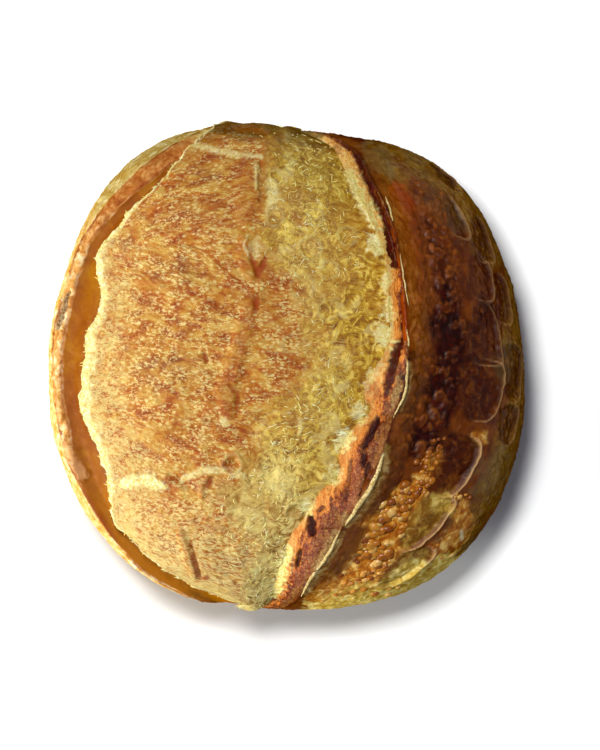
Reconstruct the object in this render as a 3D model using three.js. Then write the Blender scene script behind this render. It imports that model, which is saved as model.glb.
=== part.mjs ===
// A sourdough loaf: a round hearth loaf, slashed once from end to end and baked dark.
//
// The loaf is one closed skin. Its grid runs in meridians from the north tip of the
// slash to its south tip, like the lines on a melon, so the ear, the lip and the torn
// edge of the crumb each lie along a meridian of their own. An angle "across" turns
// about the long axis (0 right side, 90 top, 180 left side, 270 base), and an angle
// "along" runs from -90 at the south tip to 90 at the north tip.
//
// X points across the slash towards the ear, Y along it, Z up from the flat base.
import * as THREE from 'three';

// ---- Driving dimensions, in millimetres and degrees ----
const MEAN_RADIUS = 118.9; // of the outline seen from above
const OUTLINE_LOBES = [ // how far the outline leaves a circle, as a share of its radius
  { count: 1, share: 0.0075, towards: -90 },
  { count: 2, share: 0.017, towards: 110 },
  { count: 3, share: 0.005, towards: -13 },
  { count: 4, share: 0.029, towards: 42 },
  { count: 5, share: 0.007, towards: -25 },
  { count: 6, share: 0.008, towards: -3 },
];
const WAIST_HEIGHT = 40; // height of the widest ring
const DOME_RISE = 61; // from the waist to the top of the dome
const BELLY_DROP = 47; // from the waist down, before the base cuts it flat
const DOME_FULLNESS = 2.2; // exponent of the dome's curve, 2 is an ellipse
const BELLY_FULLNESS = 3.2;
const TIP_DIP = 14; // how far the two tips of the slash lie below the waist
const TIP_TURN = { north: 4, south: -11 }; // how far each tip is turned to the left

// The ear: three flaps of lifted crust, with their crest and the foot of their torn face
// given where they are seen from above.
const EAR_LINE = [
  [24.5, 109], [34, 102], [39, 92], [44.5, 81], [50, 68], [53.5, 53], [55.5, 36], [57, 17],
  [57.5, 8], [56, -9], [50.5, -24.5], [46, -41], [38.5, -58.5], [28, -75], [18.5, -92],
  [11.5, -102], [6, -110.5], [1, -115],
];
const EAR_FOOT_LINE = [
  [21, 106], [28, 91], [38, 77], [43, 66], [47.5, 54], [48.5, 35], [49.5, 17], [46, 5],
  [38.5, -6], [38, -16], [40, -22], [30, -31], [25, -42], [24.5, -54], [16, -60], [9, -71],
  [2, -80], [-1, -92], [-6.5, -107], [-8, -114],
];
const FLAPS = [
  { north: 114, south: -25, height: 15 },
  { north: -20, south: -77, height: 11 },
  { north: -68, south: -119, height: 9 },
];
const FLAP_BLUNTNESS = 0.35; // small is a flap of even height, 1 a pointed one
const CREST_WAVES = [ // the crest's unevenness, as shares of its height
  { share: 0.05, length: 46 },
  { share: 0.04, length: 19 },
];
// Section of the ear: way across, which is 0 at the inner foot, 1 at the crest and 2 at the
// outer foot, and rise in flap heights.
const EAR_SECTION = [
  { way: 0, rise: 0 },
  { way: 0.3, rise: 0.3 },
  { way: 0.62, rise: 0.72 },
  { way: 0.86, rise: 0.97 },
  { way: 0.97, rise: 1.04 },
  { way: 1.06, rise: 0.92 },
  { way: 1.3, rise: 0.6 },
  { way: 1.6, rise: 0.24 },
  { way: 2, rise: 0 },
];
const OUTER_FOOT = 14; // from the crest to the outer foot
const WIDEST_OUTER_ANGLE = 12; // keeps that side narrow towards the tips

// The lip: the other side of the slash, left lying, and the torn edge of the crumb beside it.
const LIP_LINE = [
  [-44, 110], [-67, 95], [-84, 78], [-97, 58], [-104, 39], [-109.5, 18], [-111, 2],
  [-109.5, -18], [-104, -42], [-94, -62], [-81, -82], [-64, -99], [-40, -112],
];
const TORN_LINE = [
  [-32, 105], [-55.5, 86.5], [-73, 68.5], [-86, 54], [-84.5, 42], [-83.5, 34], [-85.5, 26],
  [-89, 16.5], [-91, 5], [-93.5, -7], [-93.5, -21.5], [-87, -37], [-79.5, -54.5], [-75, -72],
  [-58.5, -92], [-35, -105.5], [-20, -111],
];
const LIP_HEIGHT = 3;
const GROOVE_DEPTH = 3;
const TORN_EDGE_HEIGHT = 4;
// Section from the side crust over the lip and the groove to the torn edge: share of the
// way from the lip to the torn edge, and rise as shares of the three heights above.
const LIP_SECTION = [
  { way: -0.55, lip: 0, groove: 0, edge: 0 },
  { way: -0.22, lip: 0.7, groove: 0, edge: 0 },
  { way: 0, lip: 1, groove: 0, edge: 0 },
  { way: 0.25, lip: 0, groove: 0.35, edge: 0 },
  { way: 0.55, lip: 0, groove: 1, edge: 0 },
  { way: 0.85, lip: 0, groove: 0.8, edge: 0 },
  { way: 0.97, lip: 0, groove: 0, edge: 0.55 },
];

// The crumb that burst out between them.
const CRUMB_SWELL = 2; // how far its middle bulges past the body
const CRUMB_SINK = 3; // how deep it lies at the foot of the ear
const CREASE = { x: -13, north: 104, south: -66, width: 4, depth: 2.4 };
const TEAR = { y: -55, west: -84, east: -24, width: 3, depth: 2 };
const LUMPS = [ // broad swellings of the crumb and the crust
  { x: -52, y: 8, radius: 30, height: 1.8 },
  { x: -46, y: 66, radius: 24, height: 1.4 },
  { x: -52, y: -84, radius: 26, height: 1.6 },
  { x: 16, y: 40, radius: 26, height: -1.2 },
  { x: 14, y: -30, radius: 24, height: 1.0 },
  { x: 92, y: -48, radius: 26, height: 1.2 },
];

// Leaf cuts in two rows down the right side: centre seen from above, then size on the skin.
const LEAVES = [
  { x: 76, y: 92, long: 24, wide: 13, turn: 24 },
  { x: 81, y: 72, long: 24, wide: 12, turn: 8 },
  { x: 94, y: 62, long: 28, wide: 15, turn: 18 },
  { x: 93, y: 43, long: 24, wide: 17, turn: 10 },
  { x: 103, y: 33, long: 26, wide: 18, turn: 8 },
  { x: 95, y: 15, long: 30, wide: 22, turn: 4 },
  { x: 108.5, y: -3, long: 29, wide: 22, turn: 0 },
  { x: 93, y: -11, long: 30, wide: 27, turn: 0 },
  { x: 106, y: -28, long: 20, wide: 18, turn: -8 },
  { x: 84, y: -48, long: 32, wide: 25, turn: -22 },
  { x: 68, y: -74, long: 31, wide: 26, turn: -38 },
  { x: 59, y: -101, long: 26, wide: 25, turn: -55 },
];
const LEAF_DEPTH = 2.4;
const LEAF_RIM = { height: 1.5, width: 3 };

// ---- The grid ----
const ROWS = 73; // along the loaf, the two tips included
const ROW_GATHER = 0.1; // draws the rows together towards the middle
const CRUMB_COLUMNS = 17;
// Columns from the ear's outer foot round under the loaf to the lip: angle reached, count.
const CRUST_STRIPS = [
  { until: 0, columns: 23 },
  { until: -12, columns: 2 },
  { until: -52, columns: 6 },
  { until: -128, columns: 3 },
  { until: -168, columns: 6 },
  { until: -180, columns: 2 },
];
const SIDE_COLUMNS = 4; // from the left waist up to the lip

const DEGREE = Math.PI / 180;
const UP = new THREE.Vector3(0, 0, 1);

// Half-width of the outline towards a bearing: a circle with a few shallow lobes.
function outlineRadius(bearing) {
  let radius = MEAN_RADIUS;
  for (const lobe of OUTLINE_LOBES) {
    radius += MEAN_RADIUS * lobe.share * Math.cos(lobe.count * (bearing - lobe.towards * DEGREE));
  }
  return radius;
}

// How far a direction is tipped down towards the nearer tip, and turned about Z.
function tipAngles(along) {
  const s = Math.sin(along);
  const mean = (TIP_TURN.north + TIP_TURN.south) / 2;
  const swing = (TIP_TURN.north - TIP_TURN.south) / 2;
  return { dip: TIP_DIP * DEGREE * s * Math.abs(s), turn: (mean + swing * s) * DEGREE };
}

// Point of the smooth body: a superellipse in height, the lobed outline in plan, cut flat
// at the base.
function bodyPoint(across, along) {
  const { dip, turn } = tipAngles(along);
  const y = Math.sin(along);
  const up = Math.cos(along) * Math.sin(across);
  const north = y * Math.cos(dip) + up * Math.sin(dip);
  const sine = up * Math.cos(dip) - y * Math.sin(dip);
  const east = Math.cos(along) * Math.cos(across);
  const bearing = Math.atan2(north, east) + turn;
  const cosine = Math.hypot(east, north);
  const power = 2 / (sine > 0 ? DOME_FULLNESS : BELLY_FULLNESS);
  const reach = sine > 0 ? DOME_RISE : -BELLY_DROP;
  const radius = outlineRadius(bearing) * cosine ** power;
  const height = WAIST_HEIGHT + reach * Math.abs(sine) ** power;
  return new THREE.Vector3(
    radius * Math.cos(bearing),
    radius * Math.sin(bearing),
    Math.max(height, 0),
  );
}

// Grid angles of the point of the dome that lies at x, y when seen from above.
function anglesAbove(x, y) {
  const bearing = Math.atan2(y, x);
  const share = Math.min(Math.hypot(x, y) / outlineRadius(bearing), 1);
  const cosine = share ** (DOME_FULLNESS / 2);
  const sine = Math.sqrt(1 - cosine * cosine);
  let along = Math.asin(cosine * Math.sin(bearing));
  let across = 0;
  for (let round = 0; round < 40; round += 1) {
    const { dip, turn } = tipAngles(along);
    const east = cosine * Math.cos(bearing - turn);
    const north = cosine * Math.sin(bearing - turn);
    along = Math.asin(north * Math.cos(dip) - sine * Math.sin(dip));
    across = Math.atan2(sine * Math.cos(dip) + north * Math.sin(dip), east);
  }
  return { across, along };
}

// A line of plan points as a smooth curve of the angle across against the angle along:
// a cubic between each two points, with the slope at a point taken from its neighbours.
function meridian(points) {
  const knots = points
    .map(([x, y]) => anglesAbove(x, y))
    .sort((a, b) => a.along - b.along);
  return (along) => {
    const last = knots.length - 1;
    if (along <= knots[0].along) {
      return knots[0].across;
    }
    if (along >= knots[last].along) {
      return knots[last].across;
    }
    const i = knots.findIndex((knot) => knot.along > along) - 1;
    const [before, start, end, after] = [i - 1, i, i + 1, i + 2].map(
      (index) => knots[THREE.MathUtils.clamp(index, 0, last)],
    );
    const length = end.along - start.along;
    const t = (along - start.along) / length;
    const leaving = (end.across - before.across) / (end.along - before.along);
    const arriving = (after.across - start.across) / (after.along - start.along);
    const bend = start.across - end.across;
    const square = bend + leaving * length;
    const cube = -bend - arriving * length;
    return (
      THREE.MathUtils.lerp(start.across, end.across, t) +
      t * (1 - t) * ((1 - t) * square + t * cube)
    );
  };
}

const earAngle = meridian(EAR_LINE);
const footAngle = meridian(EAR_FOOT_LINE);
const lipAngle = meridian(LIP_LINE);
const tornAngle = meridian(TORN_LINE);

// The surface's own directions at a grid point: to the right, northwards and outwards.
function bodyFrame(across, along) {
  const small = 1e-4;
  const right = bodyPoint(across - small, along).sub(bodyPoint(across + small, along));
  const north = bodyPoint(across, along + small).sub(bodyPoint(across, along - small));
  const span = right.length() / (2 * small);
  const reach = north.length() / (2 * small);
  const normal = new THREE.Vector3().crossVectors(right, north).normalize();
  return { normal, span, reach };
}

// 1 over most of the loaf, falling to 0 at the two tips, where all meridians meet.
function awayFromTips(along) {
  return THREE.MathUtils.smoothstep(Math.cos(along), 0.03, 0.75);
}

function bell(distance, width) {
  return Math.exp(-((distance / width) ** 2));
}

// 1 between two ends, with soft ends of the given length.
function between(value, low, high, soft) {
  return (
    THREE.MathUtils.smoothstep(value, low - soft, low + soft) *
    (1 - THREE.MathUtils.smoothstep(value, high - soft, high + soft))
  );
}

// Height of the ear at y: each flap is a blunt hump between its two ends.
function flapHeight(y) {
  let waves = 1;
  for (const wave of CREST_WAVES) {
    waves += wave.share * Math.sin((2 * Math.PI * y) / wave.length);
  }
  let highest = 0;
  for (const flap of FLAPS) {
    const t = THREE.MathUtils.clamp((y - flap.south) / (flap.north - flap.south), 0, 1);
    const height = flap.height * (4 * t * (1 - t)) ** FLAP_BLUNTNESS * waves;
    highest = Math.max(highest, height);
  }
  return highest;
}

// Broad swellings, which every part of the top carries.
function lumpRelief(x, y) {
  let rise = 0;
  for (const lump of LUMPS) {
    rise += lump.height * bell(Math.hypot(x - lump.x, y - lump.y), lump.radius);
  }
  return rise;
}

// The crumb's crease, which runs along it, and its tear, which runs across.
function crumbRelief(x, y) {
  const crease = CREASE.depth * bell(x - CREASE.x, CREASE.width);
  const tear = TEAR.depth * bell(y - TEAR.y, TEAR.width);
  return -(
    crease * between(y, CREASE.south, CREASE.north, 12) +
    tear * between(x, TEAR.west, TEAR.east, 8)
  );
}

const leafCuts = LEAVES.map((leaf) => {
  const centre = anglesAbove(leaf.x, leaf.y);
  return { ...leaf, ...centre, frame: bodyFrame(centre.across, centre.along) };
});

// A leaf cut is a shallow dish inside a raised rim, and pointed at both ends.
function leafRelief(across, along) {
  let rise = 0;
  for (const leaf of leafCuts) {
    const right = (leaf.across - across) * leaf.frame.span;
    const north = (along - leaf.along) * leaf.frame.reach;
    const cos = Math.cos(leaf.turn * DEGREE);
    const sin = Math.sin(leaf.turn * DEGREE);
    const lengthways = (north * cos + right * sin) / (leaf.long / 2);
    const sideways = (right * cos - north * sin) / (leaf.wide / 2);
    const away = Math.hypot(sideways, lengthways * Math.abs(lengthways));
    const gap = (away - 1) * (leaf.wide / 2);
    rise += LEAF_RIM.height * bell(gap, LEAF_RIM.width);
    rise -= LEAF_DEPTH * (1 - THREE.MathUtils.smoothstep(away, 0.45, 1));
  }
  return rise;
}

// A point of the skin: the body point, raised along its normal, with the ear's lift on top.
function skinPoint(across, along, rise, lift = 0) {
  const point = bodyPoint(across, along);
  const { normal } = bodyFrame(across, along);
  const offBase = THREE.MathUtils.smoothstep(point.z, 2, 25);
  const fade = awayFromTips(along);
  const relief = lumpRelief(point.x, point.y) * THREE.MathUtils.smoothstep(point.z, 40, 70);
  point.addScaledVector(normal, (rise * fade + relief) * offBase);
  return point.addScaledVector(UP, lift * fade);
}

// The crumb from its torn edge to the foot of the ear, without its last column.
function crumbColumns(along, torn, foot) {
  const points = [];
  for (let i = 0; i < CRUMB_COLUMNS; i += 1) {
    const way = i / CRUMB_COLUMNS;
    const across = THREE.MathUtils.lerp(torn, foot, way);
    const { x, y } = bodyPoint(across, along);
    const sink = (TORN_EDGE_HEIGHT + CRUMB_SINK) * way ** 3;
    const swell = CRUMB_SWELL * Math.sin(Math.PI * way);
    const rise = TORN_EDGE_HEIGHT + swell - sink + crumbRelief(x, y);
    points.push(skinPoint(across, along, rise));
  }
  return points;
}

// The ear, from its inner foot in the crumb over the crest to its outer foot on the crust.
function earColumns(along, foot, ear, outerFoot) {
  const height = flapHeight(bodyPoint(ear, along).y);
  return EAR_SECTION.map(({ way, rise }) => {
    const inner = THREE.MathUtils.lerp(foot, ear, Math.min(way, 1));
    const outer = Math.max(way - 1, 0) * (ear - outerFoot);
    const sink = CRUMB_SINK * Math.max(1 - way, 0) ** 2;
    return skinPoint(inner - outer, along, -sink, height * rise);
  });
}

// The whole crust, from the ear's outer foot down the right side, under the loaf and up
// the left side to the lip.
function crustColumns(along, start, lip) {
  const points = [];
  const strips = [...CRUST_STRIPS, { until: lip - 2 * Math.PI, columns: SIDE_COLUMNS, isAngle: true }];
  let from = start;
  for (const strip of strips) {
    const until = strip.isAngle ? strip.until : strip.until * DEGREE;
    for (let i = 1; i <= strip.columns; i += 1) {
      const across = THREE.MathUtils.lerp(from, until, i / strip.columns);
      points.push(skinPoint(across, along, leafRelief(across, along)));
    }
    from = until;
  }
  points.pop();
  return points;
}

// The lip, the groove inside it and the step up to the torn edge.
function lipColumns(along, lip, torn) {
  return LIP_SECTION.map((knot) => {
    const across = THREE.MathUtils.lerp(lip, torn, knot.way);
    const rise = LIP_HEIGHT * knot.lip - GROOVE_DEPTH * knot.groove + TORN_EDGE_HEIGHT * knot.edge;
    return skinPoint(across, along, rise);
  });
}

// One ring of the skin, clockwise seen from the south.
function ring(along) {
  const foot = footAngle(along);
  const ear = earAngle(along);
  const lip = lipAngle(along);
  const torn = tornAngle(along);
  const { span } = bodyFrame(ear, along);
  const outerFoot = ear - Math.min(OUTER_FOOT / span, WIDEST_OUTER_ANGLE * DEGREE);
  const lipFoot = THREE.MathUtils.lerp(lip, torn, LIP_SECTION[0].way);
  return [
    ...crumbColumns(along, torn, foot),
    ...earColumns(along, foot, ear, outerFoot),
    ...crustColumns(along, outerFoot, lipFoot),
    ...lipColumns(along, lip, torn),
  ];
}

// The closed skin: rings from the south tip to the north tip, and a fan at each tip.
function loafGeometry() {
  const rings = [];
  for (let row = 1; row < ROWS - 1; row += 1) {
    const even = (row / (ROWS - 1) - 0.5) * Math.PI;
    rings.push(ring(even - ROW_GATHER * Math.sin(2 * even)));
  }
  const columns = rings[0].length;
  const points = [bodyPoint(0, -Math.PI / 2), ...rings.flat(), bodyPoint(0, Math.PI / 2)];
  const northTip = points.length - 1;
  const faces = [];
  for (let j = 0; j < columns; j += 1) {
    const next = (j + 1) % columns;
    faces.push(0, 1 + next, 1 + j);
    for (let i = 0; i < rings.length - 1; i += 1) {
      const low = 1 + i * columns;
      const high = low + columns;
      faces.push(low + j, low + next, high + j);
      faces.push(low + next, high + next, high + j);
    }
    const top = 1 + (rings.length - 1) * columns;
    faces.push(top + j, top + next, northTip);
  }
  const geometry = new THREE.BufferGeometry();
  geometry.setFromPoints(points);
  geometry.setIndex(faces);
  geometry.computeVertexNormals();
  return geometry;
}

const bakedCrust = new THREE.MeshStandardMaterial({
  color: 0xb5762f,
  roughness: 0.62,
  metalness: 0,
});

const loaf = new THREE.Mesh(loafGeometry(), bakedCrust);
loaf.name = 'loaf';

const model = new THREE.Group();
model.add(loaf);

export default model;
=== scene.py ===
# %% [markdown]
# # A sourdough loaf, slashed once and baked dark
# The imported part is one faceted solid. Here it is dressed as bread: a browned crust, the
# crumb that burst out of the slash, and the lifted flap of crust that bakers call the ear.
# Every surface is a function of two angles, worked out as whole arrays in millimetres, and
# only turned to metres when it becomes a mesh.

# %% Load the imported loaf, which is the fixed frame
import math

import bpy
import numpy as np
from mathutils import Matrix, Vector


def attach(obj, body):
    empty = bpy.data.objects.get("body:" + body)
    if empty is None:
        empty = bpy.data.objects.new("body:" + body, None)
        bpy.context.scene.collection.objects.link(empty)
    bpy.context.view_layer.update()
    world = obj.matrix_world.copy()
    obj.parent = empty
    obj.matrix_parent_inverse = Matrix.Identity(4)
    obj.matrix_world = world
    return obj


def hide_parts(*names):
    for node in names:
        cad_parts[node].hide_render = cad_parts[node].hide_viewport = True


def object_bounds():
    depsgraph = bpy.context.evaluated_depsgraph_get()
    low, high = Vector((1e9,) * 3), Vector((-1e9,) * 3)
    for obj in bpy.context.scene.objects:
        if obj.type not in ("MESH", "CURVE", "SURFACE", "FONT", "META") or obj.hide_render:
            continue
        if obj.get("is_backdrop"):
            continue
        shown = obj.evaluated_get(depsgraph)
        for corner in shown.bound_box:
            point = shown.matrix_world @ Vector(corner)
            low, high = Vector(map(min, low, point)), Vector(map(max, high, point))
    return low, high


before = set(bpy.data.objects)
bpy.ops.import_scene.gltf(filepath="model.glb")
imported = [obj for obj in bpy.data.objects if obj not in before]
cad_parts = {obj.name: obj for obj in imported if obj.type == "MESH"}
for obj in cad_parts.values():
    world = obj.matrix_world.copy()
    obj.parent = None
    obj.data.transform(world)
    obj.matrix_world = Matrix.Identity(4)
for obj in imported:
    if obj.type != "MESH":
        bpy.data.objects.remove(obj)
cad_low, cad_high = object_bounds()
MM = 0.001
print("packed loaf, mm:", [round(side / MM, 1) for side in cad_high - cad_low])

# %% [markdown]
# ## The body
# A hearth loaf is a flattened dome on a flat base. Its outline from above is a circle with a
# few shallow lobes, and its height follows a superellipse, which is rounder than a box and
# fuller than an ellipse. The skin is drawn in meridians from the north tip of the slash to
# the south tip, as on a melon, so that the ear and the torn edge each follow one meridian.

# %% Sizes of the body, in millimetres and degrees
MEAN_RADIUS = 118.9
OUTLINE_LOBES = ((1, 0.0075, -90), (2, 0.017, 110), (3, 0.005, -13), (4, 0.029, 42),
                 (5, 0.007, -25), (6, 0.008, -3))  # count, share of the radius, towards
WAIST_HEIGHT = 40
DOME_RISE = 61
BELLY_DROP = 47
DOME_FULLNESS = 2.2
BELLY_FULLNESS = 3.2
TIP_DIP = 14
TIP_TURN_NORTH, TIP_TURN_SOUTH = 4, -11
UNDO_ROUNDS = 40


# %% The smooth body as a function of two angles
def outline_radius(bearing):
    """Mean radius times one plus a cosine for each lobe."""
    lobes = [share * np.cos(count * (bearing - np.radians(towards)))
             for count, share, towards in OUTLINE_LOBES]
    return MEAN_RADIUS * (1 + sum(lobes))


def tip_angles(along):
    """How far a direction dips towards the nearer tip, and how far it turns about Z."""
    s = np.sin(along)
    mean, swing = (TIP_TURN_NORTH + TIP_TURN_SOUTH) / 2, (TIP_TURN_NORTH - TIP_TURN_SOUTH) / 2
    return np.radians(TIP_DIP) * s * abs(s), np.radians(mean + swing * s)


def body(across, along):
    """A direction on a sphere, dipped and turned at the tips, then stretched to the loaf:
    outline radius times cosine to a power in plan, sine to the same power in height."""
    dip, turn = tip_angles(along)
    y, up = np.sin(along), np.cos(along) * np.sin(across)
    north = y * np.cos(dip) + up * np.sin(dip)
    sine = up * np.cos(dip) - y * np.sin(dip)
    east = np.cos(along) * np.cos(across)
    bearing = np.arctan2(north, east) + turn
    power = 2 / np.where(sine > 0, DOME_FULLNESS, BELLY_FULLNESS)
    reach = np.where(sine > 0, DOME_RISE, -BELLY_DROP)
    radius = outline_radius(bearing) * np.hypot(east, north) ** power
    height = np.maximum(WAIST_HEIGHT + reach * abs(sine) ** power, 0)
    return np.stack([radius * np.cos(bearing), radius * np.sin(bearing), height], -1)


def unit(vectors):
    """Each vector divided by its length."""
    return vectors / np.maximum(np.linalg.norm(vectors, axis=-1, keepdims=True), 1e-12)


def body_frame(across, along):
    """Steps to the right and northwards in mm for each radian, and the outward normal."""
    small = 1e-4
    right = (body(across - small, along) - body(across + small, along)) / (2 * small)
    north = (body(across, along + small) - body(across, along - small)) / (2 * small)
    return right, north, unit(np.cross(right, north))


def angles_above(x, y):
    """Grid angles of the dome's point over x, y: the body's formula undone, in rounds."""
    bearing = np.arctan2(y, x)
    cosine = np.minimum(np.hypot(x, y) / outline_radius(bearing), 1) ** (DOME_FULLNESS / 2)
    sine = np.sqrt(1 - cosine ** 2)
    along = np.arcsin(cosine * np.sin(bearing))
    for _ in range(UNDO_ROUNDS):
        dip, turn = tip_angles(along)
        east, north = cosine * np.cos(bearing - turn), cosine * np.sin(bearing - turn)
        along = np.arcsin(north * np.cos(dip) - sine * np.sin(dip))
        across = np.arctan2(sine * np.cos(dip) + north * np.sin(dip), east)
    return across, along


print("top of the body, mm:", body(np.radians(90.0), 0.0).round(1))

# %% [markdown]
# ## The lines of the slash
# Three lines set the looks: the crest of the ear, the lip on the other side of the slash, and
# the torn edge of the crumb. Each is given by where it is seen from above, and turned to an
# angle across for every angle along, with a cubic curve between the points.

# %% Lines of the slash, and the flaps of the ear
EAR_LINE = ((24.5, 109), (34, 102), (39, 92), (44.5, 81), (50, 68), (53.5, 53), (55.5, 36),
            (57, 17), (57.5, 8), (56, -9), (50.5, -24.5), (46, -41), (38.5, -58.5), (28, -75),
            (18.5, -92), (11.5, -102), (6, -110.5), (1, -115))
EAR_FOOT_LINE = ((23, 106), (30.5, 91), (38, 77), (43, 66), (47.5, 54), (48.5, 35), (49.5, 17),
                 (46, 5), (38.5, -6), (38, -16), (40, -22), (30, -31), (25, -42), (24.5, -54),
                 (16, -60), (9, -71), (2, -80), (-1, -92), (-6.5, -107), (-8, -114))
LIP_LINE = ((-44, 110), (-67, 95), (-84, 78), (-97, 58), (-104, 39), (-109.5, 18), (-111, 2),
            (-109.5, -18), (-104, -42), (-94, -62), (-81, -82), (-64, -99), (-40, -112))
TORN_LINE = ((-40, 107), (-57, 87.5), (-74.5, 69.5), (-86, 54), (-86.5, 42), (-85.5, 34),
             (-86.5, 26), (-91, 16.5), (-93, 5), (-94.5, -7), (-94.5, -21.5), (-88, -37),
             (-82, -55), (-78.5, -73), (-58.5, -92), (-35, -105.5), (-20, -111))
FLAPS = ((114, -25, 15), (-20, -77, 11), (-68, -119, 9))  # north end, south end, height
FLAP_BLUNTNESS = 0.35
CREST_WAVES = ((0.05, 46), (0.04, 19))
EAR_SECTION = ((0, 0), (0.3, 0.3), (0.62, 0.72), (0.86, 0.97), (0.97, 1.04), (1.06, 0.92),
               (1.3, 0.6), (1.6, 0.24), (2, 0))  # 0 inner foot, 1 crest line, 2 outer foot
OUTER_FOOT = 14  # mm from the crest line
WIDEST_OUTER_ANGLE = math.radians(12)


# %% Curves through points, and soft steps
def smooth_curve(at, places, values):
    """A cubic between each two places, whose slope at a place is that of its neighbours."""
    places, values = np.asarray(places, float), np.asarray(values, float)
    before, after = np.r_[0, :len(places) - 1], np.r_[1:len(places), len(places) - 1]
    slopes = (values[after] - values[before]) / (places[after] - places[before])
    at = np.clip(at, places[0], places[-1])
    i = np.clip(np.searchsorted(places, at, side="right") - 1, 0, len(places) - 2)
    length = places[i + 1] - places[i]
    t = (at - places[i]) / length
    bend = values[i] - values[i + 1]
    square, cube = bend + slopes[i] * length, -bend - slopes[i + 1] * length
    straight = values[i] + (values[i + 1] - values[i]) * t
    return straight + t * (1 - t) * ((1 - t) * square + t * cube)


def meridian(line):
    """The line's angle across as a function of the angle along."""
    across, along = angles_above(*np.array(line, float).T)
    order = np.argsort(along)
    return lambda at: smooth_curve(at, along[order], across[order])


ear_angle, foot_angle, lip_angle, torn_angle = map(
    meridian, (EAR_LINE, EAR_FOOT_LINE, LIP_LINE, TORN_LINE))


def step_up(value, low, high):
    """0 below low, 1 above high, and a smooth S between."""
    t = np.clip((value - low) / (high - low), 0, 1)
    return t * t * (3 - 2 * t)


def bell(distance, width):
    """A Gaussian hump of height 1."""
    return np.exp(-((distance / width) ** 2))


def away_from_tips(along):
    """1 over most of the loaf and 0 at the two tips, where all meridians meet."""
    return step_up(np.cos(along), 0.03, 0.75)


def fine_fade(along):
    """1 nearly up to the tips and 0 at them: fine relief may run further than the lines."""
    return step_up(np.cos(along), 0.02, 0.2)


# %% The ear's height and its section
def flap_height(y):
    """Height of the ear at y: the highest of three blunt humps, with waves on top."""
    height = np.zeros_like(y)
    waves = 1 + sum(share * np.sin(2 * np.pi * y / length) for share, length in CREST_WAVES)
    for north, south, tallest in FLAPS:
        t = np.clip((y - south) / (north - south), 0, 1)
        height = np.maximum(height, tallest * (4 * t * (1 - t)) ** FLAP_BLUNTNESS * waves)
    return height


def ear_angles(along):
    """Angles across of the ear's inner foot and its crest, and from there to its outer foot."""
    crest = ear_angle(along)
    span = np.linalg.norm(body_frame(crest, along)[0], axis=-1)
    return foot_angle(along), crest, np.minimum(OUTER_FOOT / span, WIDEST_OUTER_ANGLE)


def ear_across(way, along):
    """Angle across of a place in the ear's section: 0 inner foot, 1 crest, 2 outer foot."""
    foot, crest, outer = ear_angles(along)
    return foot + (crest - foot) * np.minimum(way, 1) - outer * np.maximum(way - 1, 0)


def ear_way(across, along):
    """The place in the ear's section of an angle across: ear_across undone."""
    foot, crest, outer = ear_angles(along)
    inner = (foot - across) / (foot - crest)
    return np.where(across > crest, inner, 1 + (crest - across) / outer)


def ear_lift(way, along):
    """How far the ear stands above the body, in mm."""
    height = flap_height(body(ear_angle(along), along)[..., 1])
    share = smooth_curve(way, *np.array(EAR_SECTION).T)
    return share * height * away_from_tips(along)


print("ear's angle across, degrees:", np.degrees(ear_angle(np.radians([-60, 0, 60]))).round(1))

# %% [markdown]
# ## Unevenness
# Bread is never smooth. Two kinds of unevenness are enough: gradient noise, whose swellings
# lie a given distance apart, for swells and grain, and scattered cells for bubbles. Both read
# a place in millimetres and a scramble of whole numbers, so each run gives the same loaf.


# %% Gradient noise and scattered cells
CELL_PRIMES = 73856093, 19349663, 83492791
SALT_PRIME, ROUND_FACTOR = 2654435761, 0x45D9F3B
ALL_BITS, HALF_THE_BITS = 0xFFFFFFFF, 16
NOISE_GAIN = 1.7


def scramble(cells, salt):
    """Whole-number cells mixed by multiply and shift into repeatable values from 0 to 1."""
    a, b, c = (cells[..., k].astype(np.int64) * CELL_PRIMES[k] for k in range(3))
    mixed = (a ^ b ^ c ^ (salt * SALT_PRIME)) & ALL_BITS
    for _ in range(2):
        mixed = ((mixed ^ (mixed >> HALF_THE_BITS)) * ROUND_FACTOR) & ALL_BITS
    return (mixed ^ (mixed >> HALF_THE_BITS)) / ALL_BITS


def noise(places, size, salt=0):
    """About -1 to 1: random slopes at lattice corners, blended with a quintic fade."""
    p = places / size
    cell = np.floor(p)
    inside = p - cell
    fade = inside ** 3 * (inside * (inside * 6 - 15) + 10)
    total = np.zeros(p.shape[:-1])
    for corner in np.ndindex(2, 2, 2):
        corner = np.array(corner)
        weight = np.prod(np.where(corner == 1, fade, 1 - fade), axis=-1)
        for axis in range(3):
            slope = 2 * scramble(cell + corner, 3 * salt + axis) - 1
            total += weight * slope * (inside[..., axis] - corner[axis])
    return NOISE_GAIN * total


def scattered(places, size, salt=0):
    """Distance to the nearest scattered seed in spacings, the next one's, and its number."""
    p = places / size
    cell = np.floor(p)
    first, second = np.full(p.shape[:-1], 9.0), np.full(p.shape[:-1], 9.0)
    number = np.zeros(p.shape[:-1])
    for step in np.ndindex(3, 3, 3):
        near = cell + np.array(step) - 1
        seed = np.stack([scramble(near, salt + k) for k in (1, 2, 3)], -1)
        distance = np.linalg.norm(near + seed - p, axis=-1)
        closer = distance < first
        second = np.where(closer, first, np.minimum(second, distance))
        number = np.where(closer, scramble(near, salt + 4), number)
        first = np.minimum(first, distance)
    return first, second, number


def caps(near, radius):
    """Round caps of height 1 over scattered seeds: the curve of a quarter circle."""
    return np.sqrt(np.maximum(1 - (near / radius) ** 2, 0))


print("noise spread:", noise(np.random.default_rng(1).random((4000, 3)) * 99, 7).std().round(2))

# %% [markdown]
# ## Skins from rings
# A piece of the loaf is a stack of closed rings of points, one ring for each angle along,
# with a fan of triangles at each tip. Masks such as how browned a spot is are stored on the
# points, where the materials read them.


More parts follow.
